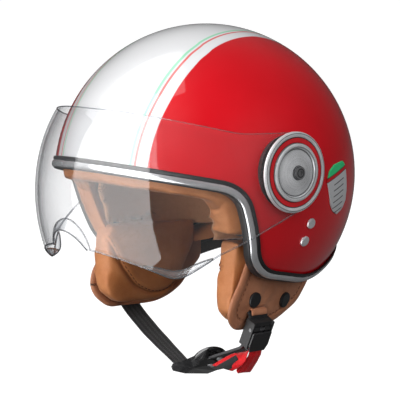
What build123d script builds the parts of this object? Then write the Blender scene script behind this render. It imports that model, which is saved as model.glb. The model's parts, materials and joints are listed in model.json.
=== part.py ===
from build123d import *
import math
import os

# Open face motorcycle helmet. Millimetres. Origin: centre of the outer shell's ellipsoid,
# which is the middle of the wearer's head. +X is the wearer's left, -Y the face, +Z the crown.

# ---- driving dimensions: shell and layers ----
SHELL = (118.2, 128.1, 124.4)     # outer semi-axes in X, Y, Z
SHELL_WALL = 4.0
EPS_GAP = 0.3                     # assembly gap between the shell and the foam
HEAD_FORM = (90.0, 102.0, 96.0)   # inner semi-axes of the foam
CROWN_PAD = 7.7                   # thickness of the comfort lining
LAYER_GAP = 0.3
SIDE_BOTTOM = -40.0               # foam and lining end here at the ears
LINER_TOP_GAP = 2.0               # foam and lining end this far above the trim
ANCHOR_POCKET = (98.0, 125.0, -6.0, 27.0, -60.0, -14.0)   # x, y and z limits, in the foam
NUT_POCKET_R = 12.0
NUT_POCKET_X = (105.0, 125.0)
FAR = 170.0                       # beyond the whole object, for cutting tools

# Rim line of the shell in side view, (y, z), and the radius of each corner
RIM_POINTS = [(-150.0, 17.5), (-58.0, -2.0), (-34.0, -70.0), (38.0, -83.5), (150.0, -47.0)]
RIM_RADII = [24.0, 38.0, 80.0]
TRIM_WIDTH = 8.0                  # rubber edge trim over the shell, up from the rim
TRIM_LIP = 2.0                    # rubber below the rim
TRIM_PROUD = 1.6
TRIM_INNER = 1.4
BEAD_START = 0.8                  # chrome bead, distance up from the rim
BEAD_WIDTH = 4.4
BEAD_PROUD = 2.6

# ---- driving dimensions: padding ----
ROLL_ABOVE = 9.7                  # brow roll, from this far above the rim line
ROLL_BELOW = 10.0
ROLL_DEPTH = 20.0
ROLL_BOTTOM = -38.0
NECK_ABOVE = 24.0
NECK_BELOW = 4.0
NECK_FRONT = 58.0
NECK_DEPTH = 19.0
NECK_BOTTOM = -60.5
PAD_INNER_X = 57.0
PAD_TOP = -44.0
FLAP_X = 88.0                     # outer face of the ear flap at its widest point
FLAP_PLAN_R = 260.0               # curvature in plan
FLAP_PLAN_Y = -50.0
FLAP_LEAN_R = 142.0               # curvature in front view, which curls the hem inwards
FLAP_LEAN_Z = -62.0
FLAP_LEATHER = 2.5
FLAP_HEIGHTS = (-35.0, -80.0, -125.0)       # where its curved profile is laid out
FLAP_TOP = -58.0
PAD_SETBACK = 5.4                 # from the flap's outer face to the pad
PAD_SHIFT = {"left": 0.0, "right": -10.0}   # the soft pads sit unevenly, as worn in
STUD_YZ = [(-19.6, -92.3), (22.0, -97.5)]
STUD_R = 6.5
STUD_CAP_T = 2.4
POST_R = 2.0
POST_LENGTH = 8.0
SLOT_Y = -12.0
SLOT_Z = -103.0
SLOT_SIZE = (20.5, 3.2)
TAB_X = (83.2, 85.0)              # inner and outer face of the tab's hanging part
TAB_Z = (-104.4, -101.2, -99.2)   # lower edge, under side and top of its fold
TAB_HALF = 8.0

# ---- driving dimensions: visor and its pivots ----
PIVOT_Y = -14.3
PIVOT_Z = 13.2
BUBBLE_Y = -12.0                  # centre of the visor's middle section
BUBBLE_Z = -16.7
BUBBLE_R = 134.0
BUBBLE_X = 124.5                  # half width that the bubble would reach without its flats
VISOR_WALL = 2.0
LUG_SCALE = 0.26                  # section scale at the flat lugs
LUG_R = 31.0
NOSE_HALF = 23.0
NOSE_TOP = -26.0
NOSE_ARCH_Z = -50.0               # springing line of the nose arch
BUSH_R = 7.9
RUNNING = 0.1                     # radial clearance of the visor on its bush
BASE_R = 31.5
MEDAL_X = 121.2                   # back face of the medallion
SCREW_R = 3.0
SCREW_TIP_X = 105.3
SCREW_HEAD = (5.2, 2.4)           # radius and height
SCREW_HEAD_LIFT = 7.5             # under side of the head over the medallion's back
KEY_R = 2.4
KEY_DEPTH = 1.7
NUT_X = (106.0, 112.0)
NUT_R = 8.5

# ---- driving dimensions: chin strap ----
STRAP_Y = -15.0
STRAP_W = 20.0
STRAP_T = 1.4
BUCKLE_X = 85.2
BUCKLE_Z = -107.0
BUCKLE_TILT = 24.8                # degrees inwards from vertical
STRIP_W = 18.0
STRIP_T = 2.2
STRIP_BEND = (-0.92, -0.39)       # direction (x, z) of the strip after its bend
PIN_T = 8.0                       # lever pin, along the buckle
PIN_N = 4.1                       # lever pin, out from the buckle's mid plane
PIN_R = 1.5
RECEIVER_HALF = 11.0              # half width over the side walls
RECEIVER_BORE = 9.5               # half width between them
RECEIVER_T = (1.0, 24.0)          # ends, along the buckle
RECEIVER_FLOOR = (-3.2, -1.5)
RECEIVER_TOP = 6.8
LEVER_HALF = 9.2
LEVER_END = 26.0
LEVER_FACE = (3.3, 5.5)
LEVER_GRIP = 7.2
LEVER_BOSS_R = 2.6
SPRING_R = (1.65, 2.35)
SPRING_HALF = 2.3
TOOTH_PITCH = 2.4
TOOTH_COUNT = 5
TOOTH_START = 8.0
STRIP_LENGTH = 54.0               # after its bend
PULL_LENGTH = 21.0
PULL_HALF = 7.0
SLIDER_HALF = 12.0

SIDE_VIEW = Plane(origin=(0, 0, 0), x_dir=(0, 1, 0), z_dir=(1, 0, 0))


# ---- helpers ----
def ellipsoid(semi):
    return scale(Sphere(1.0), by=semi)


def shell_level(depth):
    """The shell's ellipsoid, moved inwards by depth."""
    return ellipsoid(tuple(s - depth for s in SHELL))


def prism(face, low=-FAR, high=FAR):
    """A side view outline in (y, z), extruded from x = low to x = high."""
    return Pos(low, 0, 0) * extrude(SIDE_VIEW * face, amount=high - low)


def block(x0, x1, y0, y1, z0, z1):
    return Pos((x0 + x1) / 2, (y0 + y1) / 2, (z0 + z1) / 2) * Box(x1 - x0, y1 - y0, z1 - z0)


def closed_face(line):
    ends = line @ 0, line @ 1
    return make_face([*line.edges(), Line(ends[1], ends[0])])


def save(name, shape):
    shape.label = name
    export_step(shape, os.path.join("parts", name + ".step"))


def save_pair(stem, left):
    save(stem + "_left", left)
    save(stem + "_right", mirror(left, about=Plane.YZ))


# ---- shell, foam and trim ----
def shell_region(grow=0.0):
    """Side view area above the rim line, with the line moved out by grow."""
    rim = FilletPolyline(*RIM_POINTS, radius=RIM_RADII)
    top = FAR
    sides = Polyline(RIM_POINTS[-1], (150, top), (-150, top), RIM_POINTS[0])
    face = make_face([*rim.edges(), *sides.edges()])
    return offset(face, amount=grow) if grow else face


def shell_x(y, z, depth=0.0):
    """Half width of the shell, depth below its surface, at a side view point."""
    a, b, c = (s - depth for s in SHELL)
    return a * math.sqrt(1 - (y / b) ** 2 - (z / c) ** 2)


def shell_normal(y, z):
    x = shell_x(y, z)
    return Vector(x / SHELL[0] ** 2, y / SHELL[1] ** 2, z / SHELL[2] ** 2).normalized()


RIVET_YZ = [(11.5, -29.8), (8.7, -44.2)]
RIVET_HEAD_R = 4.35
RIVET_SHANK_R = 2.3
WASHER_R = 4.9
WASHER_T = 1.2
WASHER_DEPTH = 9.8                # from the shell's surface to the washer's mid plane


def rivet_plane(y, z):
    return Plane(origin=(shell_x(y, z), y, z), z_dir=shell_normal(y, z))


def outer_shell():
    body = (shell_level(0) - shell_level(SHELL_WALL)) & prism(shell_region())
    for side in (1, -1):
        body -= Pos(side * SHELL[0], PIVOT_Y, PIVOT_Z) * Rot(0, 90, 0) * Cylinder(SCREW_R + 0.2, 24)
    for y, z in RIVET_YZ:
        hole = rivet_plane(y, z) * Cylinder(RIVET_SHANK_R + 0.1, 16)
        body -= hole
        body -= mirror(hole, about=Plane.YZ)
    return body


def eps_liner():
    """Energy absorbing foam, with pockets for the strap anchors and the pivot nuts."""
    region = prism(shell_region(-TRIM_WIDTH - LINER_TOP_GAP))
    body = (shell_level(SHELL_WALL + EPS_GAP) - ellipsoid(HEAD_FORM)) & region
    body &= block(-FAR, FAR, -FAR, FAR, SIDE_BOTTOM, FAR)
    for pocket in (block(*ANCHOR_POCKET), disc(*NUT_POCKET_X, NUT_POCKET_R)):
        body -= pocket
        body -= mirror(pocket, about=Plane.YZ)
    return body


def crown_liner():
    outer = ellipsoid(tuple(s - LAYER_GAP for s in HEAD_FORM))
    inner = ellipsoid(tuple(s - LAYER_GAP - CROWN_PAD for s in HEAD_FORM))
    body = (outer - inner) & prism(shell_region(-TRIM_WIDTH - LINER_TOP_GAP))
    return body & block(-FAR, FAR, -FAR, FAR, SIDE_BOTTOM, FAR)


def brow_roll():
    """Padded roll along the brow and down the front edge of each cheek."""
    depth = SHELL_WALL + TRIM_INNER + LAYER_GAP
    band = shell_level(depth) - shell_level(depth + ROLL_DEPTH)
    band &= prism(shell_region(ROLL_BELOW) - shell_region(-ROLL_ABOVE))
    return band & block(-FAR, FAR, -FAR, 0, ROLL_BOTTOM, FAR)


def neck_roll():
    """Padded roll along the back of the neck."""
    depth = SHELL_WALL + TRIM_INNER + LAYER_GAP
    band = shell_level(depth) - shell_level(depth + NECK_DEPTH)
    band &= prism(shell_region(NECK_BELOW) - shell_region(-NECK_ABOVE))
    return band & block(-FAR, FAR, NECK_FRONT, FAR, NECK_BOTTOM, SIDE_BOTTOM - 0.5)


def edge_band(low, high):
    """Side view band along the rim, from low to high above the rim line."""
    return prism(shell_region(-low) - shell_region(-high))


def edge_trim(shell):
    band = edge_band(-TRIM_LIP, TRIM_WIDTH)
    wrap = (shell_level(-TRIM_PROUD) - shell_level(SHELL_WALL + TRIM_INNER)) & band
    bead = shell_level(-BEAD_PROUD) - shell_level(-TRIM_PROUD + 0.9)
    bead &= edge_band(BEAD_START, BEAD_START + BEAD_WIDTH)
    return wrap - shell - bead, bead


# ---- badge: plain plaque, a rounded leaning plate without any mark ----
BADGE_CENTRE = (44.0, -2.0)
BADGE_SIZE = (22.0, 34.0)
BADGE_LEAN = -14.0
BADGE_T = 1.0


def badge():
    plate = Rot(0, 0, BADGE_LEAN) * RectangleRounded(*BADGE_SIZE, 6.0)
    plate = Pos(*BADGE_CENTRE) * plate
    return (shell_level(-BADGE_T) - shell_level(-0.05)) & prism(plate, 0, FAR)


# ---- ear flaps and cheek pads ----
def flap_radius(z, inset=0.0):
    curl = FLAP_LEAN_R - math.sqrt(FLAP_LEAN_R ** 2 - (z - FLAP_LEAN_Z) ** 2)
    return FLAP_PLAN_R - curl - inset


def flap_x(y, z, inset=0.0):
    """Half width of the flap's outer face at a side view point."""
    plan = math.sqrt(flap_radius(z, inset) ** 2 - (y - FLAP_PLAN_Y) ** 2)
    return FLAP_X - FLAP_PLAN_R + plan


def flap_body(inset):
    """Everything inside the flap's outer face moved inwards by inset, for x > 0."""
    axis_x = FLAP_X - FLAP_PLAN_R
    rim = [(flap_radius(z, inset), z) for z in FLAP_HEIGHTS]
    arc = ThreePointArc(*rim)
    walls = Polyline(rim[2], (150, FLAP_HEIGHTS[2]), (150, FLAP_HEIGHTS[0]), rim[0])
    profile = Plane.XZ * make_face([*arc.edges(), *walls.edges()])
    ring = revolve(profile, axis=Axis.Z, revolution_arc=360)
    return Pos(axis_x, FLAP_PLAN_Y, 0) * ring


def flap_outline(shift):
    """Side view outline of the ear flap; shift slides its lower part fore and aft."""
    points = [(-30, FLAP_TOP), (-45 + shift, -90), (-47.5 + shift, -108), (-38 + shift * 0.7, -117),
              (12, -116.5), (46, -103), (66, -80), (67, -63), (38, -63), (30, FLAP_TOP)]
    return closed_face(FilletPolyline(*points, radius=[30, 12, 10, 60, 30, 14, 4, 4]))


def slot_cutter():
    y, z = SLOT_Y, SLOT_Z
    return block(60, 110, y - SLOT_SIZE[0] / 2, y + SLOT_SIZE[0] / 2,
                 z - SLOT_SIZE[1] / 2, z + SLOT_SIZE[1] / 2)


def surface_plane(y, z):
    """Plane on the flap's outer face, z out of the leather."""
    step = 0.5
    here = Vector(flap_x(y, z), y, z)
    along = Vector(flap_x(y + step, z), y + step, z) - here
    up = Vector(flap_x(y, z + step), y, z + step) - here
    return Plane(origin=here, x_dir=along, z_dir=along.cross(up))


def flap_studs():
    """Two press studs: a domed cap outside and a post through the leather into the pad."""
    studs = []
    for y, z in STUD_YZ:
        cap = Pos(0, 0, 1.0) * Cylinder(STUD_R, STUD_CAP_T)
        cap = fillet(cap.edges().sort_by(Axis.Z)[-1], 1.1)
        post = Pos(0, 0, -POST_LENGTH / 2) * Cylinder(POST_R, POST_LENGTH)
        studs.append(surface_plane(y, z) * (cap + post))
    return studs


def ear_flap(side):
    outline = flap_outline(PAD_SHIFT[side])
    sheet = (flap_body(0) - flap_body(FLAP_LEATHER)) & prism(outline, 0, FAR)
    return sheet - slot_cutter() - post_holes()


def post_holes():
    hole = Pos(0, 0, -POST_LENGTH / 2) * Cylinder(POST_R + 0.1, POST_LENGTH + 1.0)
    return [surface_plane(y, z) * hole for y, z in STUD_YZ]


def cheek_outline(shift):
    points = [(-38 + shift * 0.5, PAD_TOP), (-43 + shift, -88), (-42 + shift, -103),
              (-30 + shift * 0.7, -114.5), (10, -115), (36, -99), (54, -68), (54, PAD_TOP)]
    line = FilletPolyline(*points, radius=[40, 16, 14, 40, 30, 8])
    return closed_face(line)


def cheek_pad(side):
    body = flap_body(PAD_SETBACK) & prism(cheek_outline(PAD_SHIFT[side]), PAD_INNER_X, FAR)
    return body - post_holes() - hanger_shape(1.2)


def slot_tab():
    """Leather tab that folds out of the flap above the slot and covers the strap's top end."""
    y0, y1 = STRAP_Y - TAB_HALF, STRAP_Y + TAB_HALF
    face_x = flap_x(STRAP_Y, SLOT_Z)
    shelf = block(face_x - 6, TAB_X[1], y0, y1, TAB_Z[1], TAB_Z[2])
    skirt = block(*TAB_X, y0, y1, TAB_Z[0], TAB_Z[2])
    return (shelf + skirt) - flap_cover()


def flap_cover():
    """The flap's outer face as a solid body, for trimming what sits on it."""
    lean = block(0, FAR, -90, 90, -124, -36)
    return lean & flap_body(0)


# ---- strap anchors ----
def webbing(points, radii, width, thick, centre_y):
    """Flat webbing along points (x, z), its width along Y."""
    path = Plane.XZ * FilletPolyline(*points, radius=radii)
    start = Plane(origin=path @ 0, x_dir=(0, 1, 0), z_dir=path % 0)
    return Pos(0, centre_y, 0) * sweep(start * Rectangle(width, thick), path=path)


def hanger_shape(slack=0.0):
    """Anchor webbing from the rivets to the slot; slack makes room around it."""
    points = [(109.2, -21), (101.9, -48.5), (74.6, -56.5), (74.6, -80), (71.2, -104.5)]
    body = webbing(points, [8, 8, 120], 70, STRAP_T + slack, 0)
    half = (STRAP_W + slack) / 2
    lane = Polyline((11 - half, -15), (9 - half, -50), (SLOT_Y - half, -106),
                    (SLOT_Y + half, -106), (9 + half, -50), (11 + half, -15))
    return body & prism(closed_face(lane), 0, FAR)


def strap_rivets(shell):
    rivets = []
    for y, z in RIVET_YZ:
        head = Pos(0, 0, 0.6) * Cylinder(RIVET_HEAD_R, 2.4)
        head = fillet(head.edges().sort_by(Axis.Z)[-1], 1.2)
        shank = Pos(0, 0, -5.5) * Cylinder(RIVET_SHANK_R, 11.0)
        rivets.append(rivet_plane(y, z) * (head + shank) - shell)
    return rivets


def rivet_washers():
    """Backing washers inside the shell, over the webbing."""
    ring = Cylinder(WASHER_R, WASHER_T) - Cylinder(RIVET_SHANK_R + 0.1, 2 * WASHER_T)
    return [rivet_plane(y, z) * Pos(0, 0, -WASHER_DEPTH) * ring for y, z in RIVET_YZ]


# ---- visor ----
def bubble(wall):
    """Visor body, lofted from circles scaled about the pivot, which end in flat lugs."""
    steps = 14
    end = math.acos(LUG_SCALE)
    sections = []
    for i in range(steps + 1):
        angle = -end + 2 * end * i / steps
        k = math.cos(angle)
        x = (BUBBLE_X - wall) * math.sin(angle)
        y = PIVOT_Y + k * (BUBBLE_Y - PIVOT_Y)
        z = PIVOT_Z + k * (BUBBLE_Z - PIVOT_Z)
        circle = Circle(k * (BUBBLE_R - wall))
        sections.append(Plane(origin=(x, y, z), x_dir=(0, 1, 0), z_dir=(1, 0, 0)) * circle)
    return loft(sections)


def visor_outline():
    top = FilletPolyline((PIVOT_Y, PIVOT_Z + 30.9), (-60, 44.6), (-118, 59.8), (-160, 66),
                         radius=[60, 60])
    low = FilletPolyline((-160, -38), (-97, -70.5), (-74, -49.5), (-36, -29.5),
                         (PIVOT_Y + 6, PIVOT_Z - 30.3), radius=[11, 30, 60])
    front = Line(top @ 1, low @ 0)
    back = Line(low @ 1, top @ 0)
    face = make_face([*top.edges(), front, *low.edges(), back])
    return face + Pos(PIVOT_Y, PIVOT_Z) * Circle(LUG_R)


def visor_shield():
    body = (bubble(0) - bubble(VISOR_WALL)) & prism(visor_outline())
    arch = Pos(0, NOSE_ARCH_Z) * Ellipse(NOSE_HALF, NOSE_TOP - NOSE_ARCH_Z)
    below = Pos(0, NOSE_ARCH_Z - 20) * Rectangle(2 * NOSE_HALF, 40)
    cutter = Pos(0, -90, 0) * extrude(Plane.XZ * (arch + below), amount=80)
    hole = Pos(0, PIVOT_Y, PIVOT_Z) * Rot(0, 90, 0) * Cylinder(BUSH_R + RUNNING, 2 * FAR)
    return body - cutter - hole


# ---- pivot stack and medallion, built on the wearer's left ----
def disc(x0, x1, r, bore=0.0):
    body = Pos((x0 + x1) / 2, PIVOT_Y, PIVOT_Z) * Rot(0, 90, 0) * Cylinder(r, x1 - x0)
    if bore:
        body -= Pos((x0 + x1) / 2, PIVOT_Y, PIVOT_Z) * Rot(0, 90, 0) * Cylinder(bore, 2 * (x1 - x0))
    return body


def turned(*points):
    """A ring turned about the pivot axis from (radius, height over the medallion's back)."""
    profile = Plane.XZ * make_face(Polyline(*points, close=True).edges())
    return Pos(MEDAL_X, PIVOT_Y, PIVOT_Z) * Rot(0, 90, 0) * revolve(profile, axis=Axis.Z)


LUG_X = BUBBLE_X * math.sin(math.acos(LUG_SCALE))      # outer face of the visor's lug
LUG_INNER_X = (BUBBLE_X - VISOR_WALL) * math.sin(math.acos(LUG_SCALE))


def pivot_base():
    """Black spacer between the shell and the visor, its rim bevelled to clear the bubble."""
    bore = SCREW_R + 0.1
    top = LUG_INNER_X - 0.3 - MEDAL_X
    bottom = 100 - MEDAL_X
    body = turned((bore, bottom), (BASE_R, bottom), (BASE_R, top - 2.4), (BASE_R - 6.5, top),
                  (bore, top))
    return body - shell_level(-0.1)


def pivot_bush():
    return disc(LUG_INNER_X - 0.3, MEDAL_X, BUSH_R, SCREW_R + 0.1)


def spring_washer():
    return disc(LUG_X + 0.1, MEDAL_X, 13.0, BUSH_R + 0.2)


def medallion_outer():
    bore = SCREW_R + 0.1
    ring = turned((bore, 0), (32, 0), (32, 1.5), (31.2, 2.4), (29.8, 2.8), (28.3, 2.5),
                  (27.6, 1.9), (27.6, 1.0), (bore, 1.0))
    return ring


def medallion_red():
    return turned((23.4, 1.0), (27.4, 1.0), (27.4, 1.9), (26.8, 2.3), (24.0, 2.3), (23.4, 1.9))


def medallion_inner():
    return turned((18.6, 1.0), (23.2, 1.0), (23.2, 5.2), (22.5, 6.6), (21.3, 7.2), (20.0, 6.8),
                  (19.2, 5.6), (18.6, 3.6))


def medallion_disc():
    """Domed centre disc under the screw."""
    bore = SCREW_R + 0.1
    edge = Polyline((bore, 1.0), (18.4, 1.0), (18.4, 3.4))
    dome = ThreePointArc((18.4, 3.4), (10.5, 6.4), (bore, 7.4))
    close_up = Line((bore, 7.4), (bore, 1.0))
    profile = Plane.XZ * make_face([*edge.edges(), dome, close_up])
    return Pos(MEDAL_X, PIVOT_Y, PIVOT_Z) * Rot(0, 90, 0) * revolve(profile, axis=Axis.Z)


def pivot_screw():
    radius, height = SCREW_HEAD
    top = MEDAL_X + SCREW_HEAD_LIFT
    head = disc(top, top + height, radius)
    head = chamfer(head.edges().sort_by(Axis.X)[-1], 0.7)
    shank = disc(SCREW_TIP_X, top, SCREW_R)
    socket = Plane(origin=(top + height, PIVOT_Y, PIVOT_Z), x_dir=(0, 1, 0), z_dir=(-1, 0, 0))
    key = extrude(socket * RegularPolygon(KEY_R, 6), amount=KEY_DEPTH)
    return head + shank - key


def pivot_nut():
    body = disc(*NUT_X, NUT_R, SCREW_R + 0.05)
    return body & shell_level(SHELL_WALL + 0.1)


# ---- chin strap ----
tilt = math.radians(BUCKLE_TILT)
ALONG = Vector(-math.sin(tilt), 0, -math.cos(tilt))
OUTWARD = Vector(math.cos(tilt), 0, -math.sin(tilt))
BUCKLE_ORIGIN = Vector(BUCKLE_X, STRAP_Y, BUCKLE_Z)
BUCKLE = Plane(origin=BUCKLE_ORIGIN, x_dir=ALONG, z_dir=OUTWARD)


def buckle_box(t0, t1, half_w, n0, n1, inner_half=0.0):
    """Box in the buckle's frame: t along it, n out of it, half_w its half width."""
    mid_t, mid_n = (t0 + t1) / 2, (n0 + n1) / 2
    body = BUCKLE * (Pos(mid_t, 0, mid_n) * Box(t1 - t0, 2 * half_w, n1 - n0))
    if inner_half:
        body -= BUCKLE * (Pos(mid_t, 0, mid_n) * Box(2 * (t1 - t0), 2 * inner_half, 2 * (n1 - n0)))
    return body


def buckle_pin(r, half_w):
    return BUCKLE * (Pos(PIN_T, 0, PIN_N) * Rot(90, 0, 0) * Cylinder(r, 2 * half_w))


def buckle_point(t, n):
    """(x, z) of a point in the buckle's frame."""
    point = BUCKLE_ORIGIN + ALONG * t + OUTWARD * n
    return (point.X, point.Z)


def chin_strap_short():
    """Short strap from under the left tab into the buckle."""
    points = [(81.9, -103.8), (82.6, -107.5), buckle_point(4.4, -0.3)]
    return webbing(points, [10], STRAP_W, STRAP_T, STRAP_Y)


def buckle_receiver(strap):
    half, low = RECEIVER_HALF, RECEIVER_FLOOR[0]
    start, end = RECEIVER_T
    body = buckle_box(start, end, half, *RECEIVER_FLOOR)
    body += buckle_box(start, end, half, low, RECEIVER_TOP, inner_half=RECEIVER_BORE)
    body += buckle_box(start, start + 4, half, low, 5.0)
    body += buckle_box(end - 6, end, half, 1.6, 2.5)
    return body - strap - buckle_pin(PIN_R, 2 * half)


def release_lever():
    """Sprung lever with the pawl that locks the strip's teeth."""
    half, under = LEVER_HALF, LEVER_FACE[0]
    plate = buckle_box(PIN_T, LEVER_END, half, *LEVER_FACE)
    plate += buckle_box(LEVER_END - 1.4, LEVER_END, half, under, LEVER_GRIP)
    pawl = buckle_box(13, 16, 7.0, 1.4, under + 0.1)
    boss = buckle_pin(LEVER_BOSS_R, half)
    window = buckle_box(3, 11.2, SPRING_HALF + 0.6, -1, 9)
    return plate + pawl + boss - window - buckle_pin(PIN_R + 0.06, 2 * half)


def lever_spring():
    """Torsion spring on the pin, one leg on the receiver's top block."""
    bore, radius = SPRING_R
    coil = buckle_pin(radius, SPRING_HALF) - buckle_pin(bore, 5)
    for i in (-1, 0, 1):
        groove = buckle_pin(3.0, 0.12) - buckle_pin(2.1, 5)
        coil -= Pos(0, i * 1.1, 0) * groove
    leg = BUCKLE * (Pos(6.6, 1.9, PIN_N + 1.95) * Box(3.0, 0.7, 0.7))
    return coil + leg


def pull_ribbon(lever):
    x, z = buckle_point(26.2, 4.6)
    y0, y1 = STRAP_Y - PULL_HALF, STRAP_Y + PULL_HALF
    loop = block(x - 1.6, x + 1.2, y0, y1, z - PULL_LENGTH, z + 0.6)
    return loop - lever


def strip_path():
    corner = buckle_point(26.6, 0)
    end = tuple(c + d * STRIP_LENGTH for c, d in zip(corner, STRIP_BEND))
    return [buckle_point(6, 0), corner, end]


def ratchet_strip():
    """Toothed strip: straight where it slides in the buckle, then bent under the chin."""
    body = webbing(strip_path(), [12], STRIP_W, STRIP_T, STRAP_Y)
    for i in range(TOOTH_COUNT):
        start = TOOTH_START + TOOTH_PITCH * i
        body -= buckle_box(start, start + TOOTH_PITCH / 2, 6.5, 0.6, 2)
    return body - strip_rivet_shanks(0.05)


STRIP_RIVET_X = [26.0, 38.0]
STRIP_RIVET_R = 1.6
STRIP_RIVET_HEAD = (3.0, 0.9)     # radius and height


def strip_plane(x):
    """Plane on the strip's outer face at this x, z away from the chin."""
    corner, end = strip_path()[1:]
    share = (x - corner[0]) / (end[0] - corner[0])
    z = corner[1] + share * (end[1] - corner[1])
    normal = Vector(-STRIP_BEND[1], 0, STRIP_BEND[0]).normalized()
    return Plane(origin=(x, STRAP_Y, z), x_dir=(0, 1, 0), z_dir=normal)


def strip_rivet_shanks(grow):
    return [strip_plane(x) * Cylinder(STRIP_RIVET_R + grow, 12) for x in STRIP_RIVET_X]


def strip_rivets():
    """One rivet through the slider base and one through the strip alone."""
    rivets = []
    radius, height = STRIP_RIVET_HEAD
    for x, reach in zip(STRIP_RIVET_X, (3.0, STRIP_T / 2)):
        shank = Cylinder(STRIP_RIVET_R, 2 * reach)
        head = Pos(0, 0, reach + height / 2) * Cylinder(radius, height)
        back = Pos(0, 0, -reach - height / 2) * Cylinder(radius, height)
        rivets.append(strip_plane(x) * (shank + head + back))
    return rivets


def long_strap_points():
    x = -81.9
    return [(x, -103.8), (x - 0.3, -114), (-76, -120.2), (-52, -136), (-8, -159.3), (2, -161)]


def chin_strap_long():
    return webbing(long_strap_points(), [8, 40, 100, 30], STRAP_W, STRAP_T, STRAP_Y)


def slider_base(strip, strap):
    """Moulded slider that holds the strip and lets the long strap be adjusted."""
    outline = Polyline((33.0, -145.3), (14, -150), (4, -154.5), (-9, -158.4), (-10.5, -161.2),
                       (-8, -164.3), (9, -164.2), (20, -159), (35, -151.0), close=True)
    body = extrude(Plane.XZ * make_face(outline.edges()), amount=SLIDER_HALF, both=True)
    body = Pos(0, STRAP_Y, 0) * body
    return body - strip - strap - strip_rivets()


def main():
    os.makedirs("parts", exist_ok=True)
    shell = outer_shell()
    save("outer_shell", shell)
    save("eps_liner", eps_liner())
    save("crown_liner", crown_liner())
    save("brow_roll", brow_roll())
    save("neck_roll", neck_roll())
    rubber, bead = edge_trim(shell)
    save("edge_trim_rubber", rubber)
    save("edge_trim_chrome", bead)
    save_pair("badge", badge())

    rivets = strap_rivets(shell)
    save_pair("strap_rivets", Compound(rivets))
    save_pair("rivet_washers", Compound(rivet_washers()))
    save_pair("strap_hanger", hanger_shape() - rivets)

    studs = flap_studs()
    flap = ear_flap("left")
    save("ear_flap_left", flap)
    save("ear_flap_right", mirror(ear_flap("right"), about=Plane.YZ))
    save("cheek_pad_left", cheek_pad("left"))
    save("cheek_pad_right", mirror(cheek_pad("right"), about=Plane.YZ))
    save_pair("flap_studs", Compound([stud - flap for stud in studs]))
    save_pair("slot_tab", slot_tab())

    save_pair("pivot_base", pivot_base())
    save_pair("pivot_bush", pivot_bush())
    save_pair("spring_washer", spring_washer())
    save_pair("medallion_outer", medallion_outer())
    save_pair("medallion_red", medallion_red())
    save_pair("medallion_inner", medallion_inner())
    save_pair("medallion_disc", medallion_disc())
    save_pair("pivot_screw", pivot_screw())
    save_pair("pivot_nut", pivot_nut())

    save("visor_shield", visor_shield())

    strap = chin_strap_short()
    save("chin_strap_short", strap)
    save("buckle_receiver", buckle_receiver(strap))
    save("lever_pin", buckle_pin(PIN_R, 11.0))
    save("lever_spring", lever_spring())
    lever = release_lever()
    save("release_lever", lever)
    save("pull_ribbon", pull_ribbon(lever))
    strip = ratchet_strip()
    long_strap = chin_strap_long()
    save("ratchet_strip", strip)
    save("strip_rivets", Compound(strip_rivets()))
    save("chin_strap_long", long_strap)
    save("slider_base", slider_base(strip, long_strap))


main()
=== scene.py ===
import json
import math

import bmesh
import bpy
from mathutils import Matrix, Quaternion, Vector, noise
from mathutils.bvhtree import BVHTree
from mathutils.kdtree import KDTree


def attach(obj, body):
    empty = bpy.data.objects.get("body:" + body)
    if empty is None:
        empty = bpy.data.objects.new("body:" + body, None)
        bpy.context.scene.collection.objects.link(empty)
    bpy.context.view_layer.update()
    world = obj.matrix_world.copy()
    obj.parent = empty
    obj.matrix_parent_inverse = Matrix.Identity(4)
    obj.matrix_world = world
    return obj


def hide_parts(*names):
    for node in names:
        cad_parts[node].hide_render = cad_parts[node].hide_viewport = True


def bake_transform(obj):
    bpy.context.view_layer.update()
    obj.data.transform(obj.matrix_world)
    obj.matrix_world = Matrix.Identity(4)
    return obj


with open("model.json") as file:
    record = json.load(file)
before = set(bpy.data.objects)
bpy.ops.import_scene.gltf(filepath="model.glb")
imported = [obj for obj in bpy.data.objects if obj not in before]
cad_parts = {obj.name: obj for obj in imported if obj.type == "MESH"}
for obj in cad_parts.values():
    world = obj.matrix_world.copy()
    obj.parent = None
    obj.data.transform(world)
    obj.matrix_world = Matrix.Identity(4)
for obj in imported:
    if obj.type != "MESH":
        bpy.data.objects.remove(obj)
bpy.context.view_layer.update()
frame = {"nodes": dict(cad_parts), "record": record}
nodes = frame["nodes"]
scene = bpy.context.scene

# Lengths are millimetres in the shared frame; make_mesh turns them into metres.
MM = 0.001
LEFT, RIGHT = 1, -1
SIDES = {"left": LEFT, "right": RIGHT}

# ---- dimensions shared with the CAD ----
SHELL = (118.2, 128.1, 124.4)     # semi-axes of its outer face
RIM_POINTS = [(-150.0, 17.5), (-58.0, -2.0), (-34.0, -70.0), (38.0, -83.5), (150.0, -47.0)]
RIM_RADII = [24.0, 38.0, 80.0]
PIVOT = (-14.3, 13.2)             # (y, z) of the visor's hinge
# radius and width, in mm, of the painted shade lines where the medallion's rings step
STEP_SHADE_LINES = [(3.2, 0.5), (5.4, 0.5), (18.5, 0.4), (20.0, 0.3), (23.35, 0.5), (27.45, 0.5), (30.6, 0.3)]
RED_RING_R, RED_RING_HALF = 25.4, 1.75
LINING_SEAM_X = 31.0
FLAP_X, FLAP_PLAN_R, FLAP_PLAN_Y = 88.0, 260.0, -50.0
FLAP_LEAN_R, FLAP_LEAN_Z = 142.0, -62.0
FLAP_LEATHER = 2.5
PAD_SHIFT = {"left": 0.0, "right": -10.0}
SLOT = (-12.0, -103.0)
STRAP_Y, STRAP_W, STRAP_T = -15.0, 20.0, 1.4
BUBBLE = (-12.0, -16.7)           # (y, z) of the visor's middle section
BUBBLE_R, BUBBLE_X = 134.0, 124.5
NOSE_HALF, NOSE_TOP = 23.0, -26.0


# ---- small geometry helpers ----
def lerp(a, b, t):
    return a + (b - a) * t


def ease(value, low, high):
    share = min(1.0, max(0.0, (value - low) / (high - low)))
    return share * share * (3 - 2 * share)


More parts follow.
